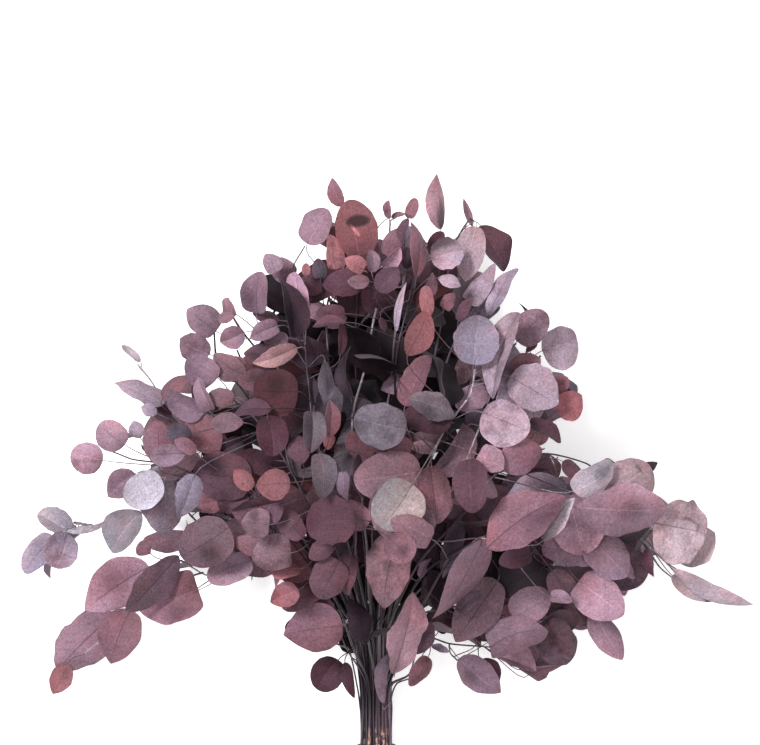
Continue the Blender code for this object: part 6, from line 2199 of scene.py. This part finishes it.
def leaf_material():
    """Dry matt leaf: stippled and netted, with a thin midrib, and a greyer underside."""
    n = Nodes("leaf_surface")
    across, along, edge = n.split(n.attribute("marks"))
    under, blotch, vein_tone = n.split(n.attribute("extras"))
    broad = n.noise(48, 3.0, 0.6)
    grain = n.noise(380, 5.0, 0.72)
    fine = n.noise(1100, 3.0, 0.65)
    net = n.ramp(n.net(330, n.noise(140, 2.0)), 0.0, 0.11, 1.0, 0.0)
    colour = mottled(n, n.attribute("tone", "Color"), broad, grain, fine, net)
    veins = vein_pattern(n, n.math("ABSOLUTE", across), along, broad, grain)
    pale_vein = n.times(colour, (1.6, 1.55, 1.55, 1))
    dark_vein = n.times(colour, (0.42, 0.4, 0.42, 1))
    colour = n.mix(veins, colour, n.mix(n.ramp(vein_tone, 0.5, 0.7), dark_vein, pale_vein))
    patches = n.math("MULTIPLY", n.ramp(n.noise(70, 4.0, 0.65), 0.45, 0.62), blotch)
    colour = n.tinted(colour, patches, (0.36, 0.3, 0.33, 1))
    specks = n.ramp(n.noise(620, 1.0, 0.4), 0.66, 0.75, 0.0, 0.55)
    colour = n.tinted(colour, specks, (0.4, 0.3, 0.3, 1))
    rim_colour = n.mix(n.ramp(broad, 0.45, 0.55), (0.55, 0.5, 0.5, 1), (1.5, 1.35, 1.35, 1))
    colour = n.tinted(colour, n.ramp(edge, 0.93, 1.0, 0.0, 0.5), rim_colour)
    colour = n.mix(under, colour, n.mix(0.4, colour, (0.2, 0.165, 0.195, 1)))
    n.put(n.shader.inputs["Base Color"], colour)
    n.put(n.shader.inputs["Roughness"], n.math("MULTIPLY_ADD", grain, 0.25, 0.5))
    n.shader.inputs["Specular IOR Level"].default_value = 0.15
    height = n.math("MULTIPLY_ADD", fine, 0.5, grain)
    height = n.math("MULTIPLY_ADD", net, -0.2, n.math("MULTIPLY_ADD", veins, 0.5, height))
    n.bump(height, 0.5, 0.0006)
    return n.material


def bark_material():
    """Thin woody stem: dark and streaked, with painted highlights in pale streaks, and bare wood
    at the cut and in small scars.
    """
    n = Nodes("stem_bark")
    _, along, _ = n.split(n.attribute("marks"))
    _, cut, stem = n.split(n.attribute("extras"))
    streak = n.noise(30, 4.0, 0.65, (18, 1, 18))
    grain = n.noise(700, 3.0, 0.6)
    shade = n.math("MULTIPLY_ADD", streak, 1.5, 0.25)
    colour = n.times(n.attribute("tone", "Color"), n.grey(shade))
    colour = n.tinted(colour, n.ramp(stem, 0.72, 0.78, 0.0, 0.8), (1.5, 1.0, 1.02, 1))
    # Painted highlights: pale streaks along the stems
    pale = n.ramp(n.noise(60, 4.0, 0.65, (9, 1, 9)), 0.55, 0.66, 0.0, 0.6)
    colour = n.tinted(colour, pale, (3.3, 3.1, 3.4, 1))
    low = n.math("MULTIPLY", n.ramp(along, -0.017, -0.002, 1.0, 0.0), n.ramp(stem, 0.45, 0.5))
    scars = n.ramp(n.noise(130, 3.0, 0.6, (2.5, 1, 2.5)), 0.52, 0.58)
    scars = n.math("MAXIMUM", n.math("MULTIPLY", scars, low), cut)
    wood = n.mix(n.ramp(grain, 0.4, 0.6), (0.3, 0.12, 0.1, 1), (0.5, 0.33, 0.28, 1))
    n.put(n.shader.inputs["Base Color"], n.mix(scars, colour, wood))
    n.put(n.shader.inputs["Roughness"], n.math("MULTIPLY_ADD", grain, 0.3, 0.32))
    n.shader.inputs["Specular IOR Level"].default_value = 0.55
    n.bump(n.math("MULTIPLY_ADD", grain, 0.4, streak), 0.5, 0.0005)
    return n.material


def band_material():
    """Plain matt rubber with fine dust."""
    n = Nodes("plain_rubber")
    dust = n.noise(260, 3.0, 0.6)
    colour = n.mix(n.ramp(dust, 0.45, 0.8, 0.0, 0.45), (0.33, 0.25, 0.17, 1), (0.46, 0.39, 0.3, 1))
    n.put(n.shader.inputs["Base Color"], colour)
    n.put(n.shader.inputs["Roughness"], n.math("MULTIPLY_ADD", dust, 0.3, 0.5))
    n.bump(n.noise(900, 2.0, 0.5), 0.2, 0.0003)
    return n.material


def floor_material():
    """Plain pale floor."""
    n = Nodes("pale_floor")
    n.put(n.shader.inputs["Base Color"], (*FLOOR_COLOUR, 1))
    n.shader.inputs["Roughness"].default_value = 0.9
    n.shader.inputs["Specular IOR Level"].default_value = 0.0
    n.shader.inputs["Emission Color"].default_value = (1.0, 0.99, 1.0, 1)
    n.shader.inputs["Emission Strength"].default_value = FLOOR_GLOW
    return n.material


def local_tone(leaf, seen_leaves, draw):
    """The tone of a leaf of the inside: that of a leaf seen near it, or dark in the opening as
    painted shade.
    """
    x, y = seen(blade_point(leaf, 0.5)[0])
    if OPENING[0] < x < OPENING[2] and OPENING[1] < y < OPENING[3]:
        return "dark"
    near = sorted(seen_leaves, key=lambda item: math.hypot(item[0] - x, item[1] - y))
    return near[draw.randrange(NEAR_TONES)][2]


def leaf_tone(leaf, seen_leaves, draw):
    """A leaf's colour: its tone, a little lighter or darker, warmer or cooler, and for a leaf of
    the inside darker still as painted shade.
    """
    value = draw.uniform(*LEAF_LEVELS)
    warm = draw.uniform(-LEAF_WARMTH, LEAF_WARMTH)
    tone = leaf["tone"]
    if leaf["kind"] == "filler" or "local" in leaf:
        tone = local_tone(leaf, seen_leaves, draw)
        # Painted shade: a leaf of the inside darker than those near it, and darkest in the opening
        value *= draw.uniform(*(INNER_SHADE_LEVELS if tone != "dark" else OPENING_SHADE_LEVELS))
    red, green, blue = TONES[tone]
    return (red * value * (1 + warm), green * value, blue * value * (1 - warm))


def leafy_stems(lines, leaves, shift, materials):
    """One piece for each leafy stem, in place of its node."""
    draw = random.Random(LOOK_SEED)
    seen_leaves = [((row[1] + row[3]) / 2, (row[2] + row[4]) / 2, row[0]) for row in LEAVES
                   if row[ROW_WIDTH] >= TONE_WIDTH]
    crowd = Crowd()
    meshes = [Mesh() for _ in SPRAYS]
    shoots = []
    looks = []
    for owner, (name, _, _) in enumerate(SPRAYS):
        own = [leaf for leaf in leaves if leaf["owner"] == owner]
        roots = [leaf["root"] for leaf in own]
        for line in lines:
            if line["owner"] == owner:
                add_stem(meshes[owner], line, name, roots, draw, crowd)
                if line["parent"] is None and draw.random() < SHOOT_SHARE:
                    shoots.append(shoot_plan(line, draw))
        for leaf in own:
            form = leaf_form(leaf, draw)
            tone = leaf_tone(leaf, seen_leaves, draw)
            blotch = draw.uniform(*BLOTCHES) if draw.random() < BLOTCHED_SHARE else 0.0
            looks.append((leaf, form, tone, (0.0, blotch, draw.random())))
    for plan in shoots:
        if plan is not None:
            add_shoot(meshes[plan[-1]], plan, crowd)
    for leaf, _, tone, _ in looks:
        add_stalk(meshes[leaf["owner"]], leaf, tone, crowd)
    for leaf, form, tone, extras in looks:
        add_blade(meshes[leaf["owner"]], leaf, form, tone, extras, crowd)
    for mesh, (name, _, _) in zip(meshes, SPRAYS):
        piece = mesh.build("leafy_stem_" + name, materials, shift)
        node = "spray_" + name
        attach(piece, "root")
        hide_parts(node)


def rubber_band(shift, material):
    """The band: a soft-edged loop pressed round the stems."""
    slots = bundle_slots()
    profile = []
    for k in range(BAND_PROFILE):
        angle = 2 * math.pi * k / BAND_PROFILE
        flat = math.copysign(abs(math.cos(angle)) ** BAND_FLAT, math.cos(angle))
        crown = math.copysign(abs(math.sin(angle)) ** BAND_CROWN, math.sin(angle))
        profile.append((flat * FINE_BAND_WIDTH / 2 - FINE_BAND_SHIFT, crown * BAND_THICKNESS / 2))
    vertices = []
    for turn in range(BAND_TURNS):
        angle = 2 * math.pi * turn / BAND_TURNS
        out = np.array((math.cos(angle), 0.0, math.sin(angle)))
        reach = max(x * out[0] + z * out[2] for x, z in slots) + STEM_RADIUS + BAND_GAP
        reach += BAND_THICKNESS / 2
        drift = BAND_DRIFT * math.sin(3 * angle + 0.6)
        for along, crown in profile:
            vertices.append(out * (reach + crown)
                            + np.array((0.0, TIE_Y + along + drift, TIE_HEIGHT)))
    faces = []
    for turn in range(BAND_TURNS):
        for k in range(BAND_PROFILE):
            a = turn * BAND_PROFILE + k
            b = turn * BAND_PROFILE + (k + 1) % BAND_PROFILE
            c = ((turn + 1) % BAND_TURNS) * BAND_PROFILE + (k + 1) % BAND_PROFILE
            d = ((turn + 1) % BAND_TURNS) * BAND_PROFILE + k
            faces.append((a, d, c, b))
    mesh = Mesh()
    count = len(vertices)
    mesh.add(np.array(vertices), faces, 0, np.tile(np.array(BARK[0]), (count, 1)),
             np.zeros((count, 3)), np.zeros((count, 3)))
    piece = mesh.build("rubber_band", [material], shift)
    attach(piece, "root")
    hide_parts("tie_band")


def area_light(name, position, size, power):
    """A soft square lamp that points at the bunch."""
    light = bpy.data.lights.new(name, "AREA")
    light.shape = "SQUARE"
    light.size = size
    light.energy = power
    obj = bpy.data.objects.new(name, light)
    obj.location = position
    way = Vector(LAMP_TARGET) - Vector(position)
    obj.rotation_euler = way.to_track_quat("-Z", "Y").to_euler()
    bpy.context.scene.collection.objects.link(obj)


def studio(shift):
    """Floor, lamps, pale surroundings and the camera that looks straight down."""
    mesh = bpy.data.meshes.new("floor")
    far = FLOOR_HALF
    mesh.from_pydata([(-far, -far, 0), (far, -far, 0), (far, far, 0), (-far, far, 0)], [],
                     [(0, 1, 2, 3)])
    mesh.materials.append(floor_material())
    floor = bpy.data.objects.new("floor", mesh)
    bpy.context.scene.collection.objects.link(floor)
    world = bpy.data.worlds.new("studio")
    world.use_nodes = True
    background = world.node_tree.nodes["Background"]
    background.inputs["Color"].default_value = (*WORLD_COLOUR, 1)
    background.inputs["Strength"].default_value = WORLD_STRENGTH
    bpy.context.scene.world = world
    for lamp in LAMPS:
        area_light(*lamp)
    camera = bpy.data.cameras.new("camera")
    camera.lens = LENS
    camera.sensor_width = SENSOR
    camera.sensor_fit = "HORIZONTAL"
    obj = bpy.data.objects.new("camera", camera)
    eye = np.array((EYE_X, EYE_Y, EYE_PLANE + EYE_DISTANCE)) - shift
    obj.location = eye * MM
    bpy.context.scene.collection.objects.link(obj)
    bpy.context.scene.camera = obj
    bpy.context.scene.view_settings.view_transform = "Standard"


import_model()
low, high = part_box("tie_band")
middle = (np.array(low) + np.array(high)) / 2 / MM
shift = np.array((0.0, TIE_Y, TIE_HEIGHT)) - middle
lines, leaves = lay_out()
leafy_stems(lines, leaves, shift, [leaf_material(), bark_material()])
rubber_band(shift, band_material())
studio(shift)
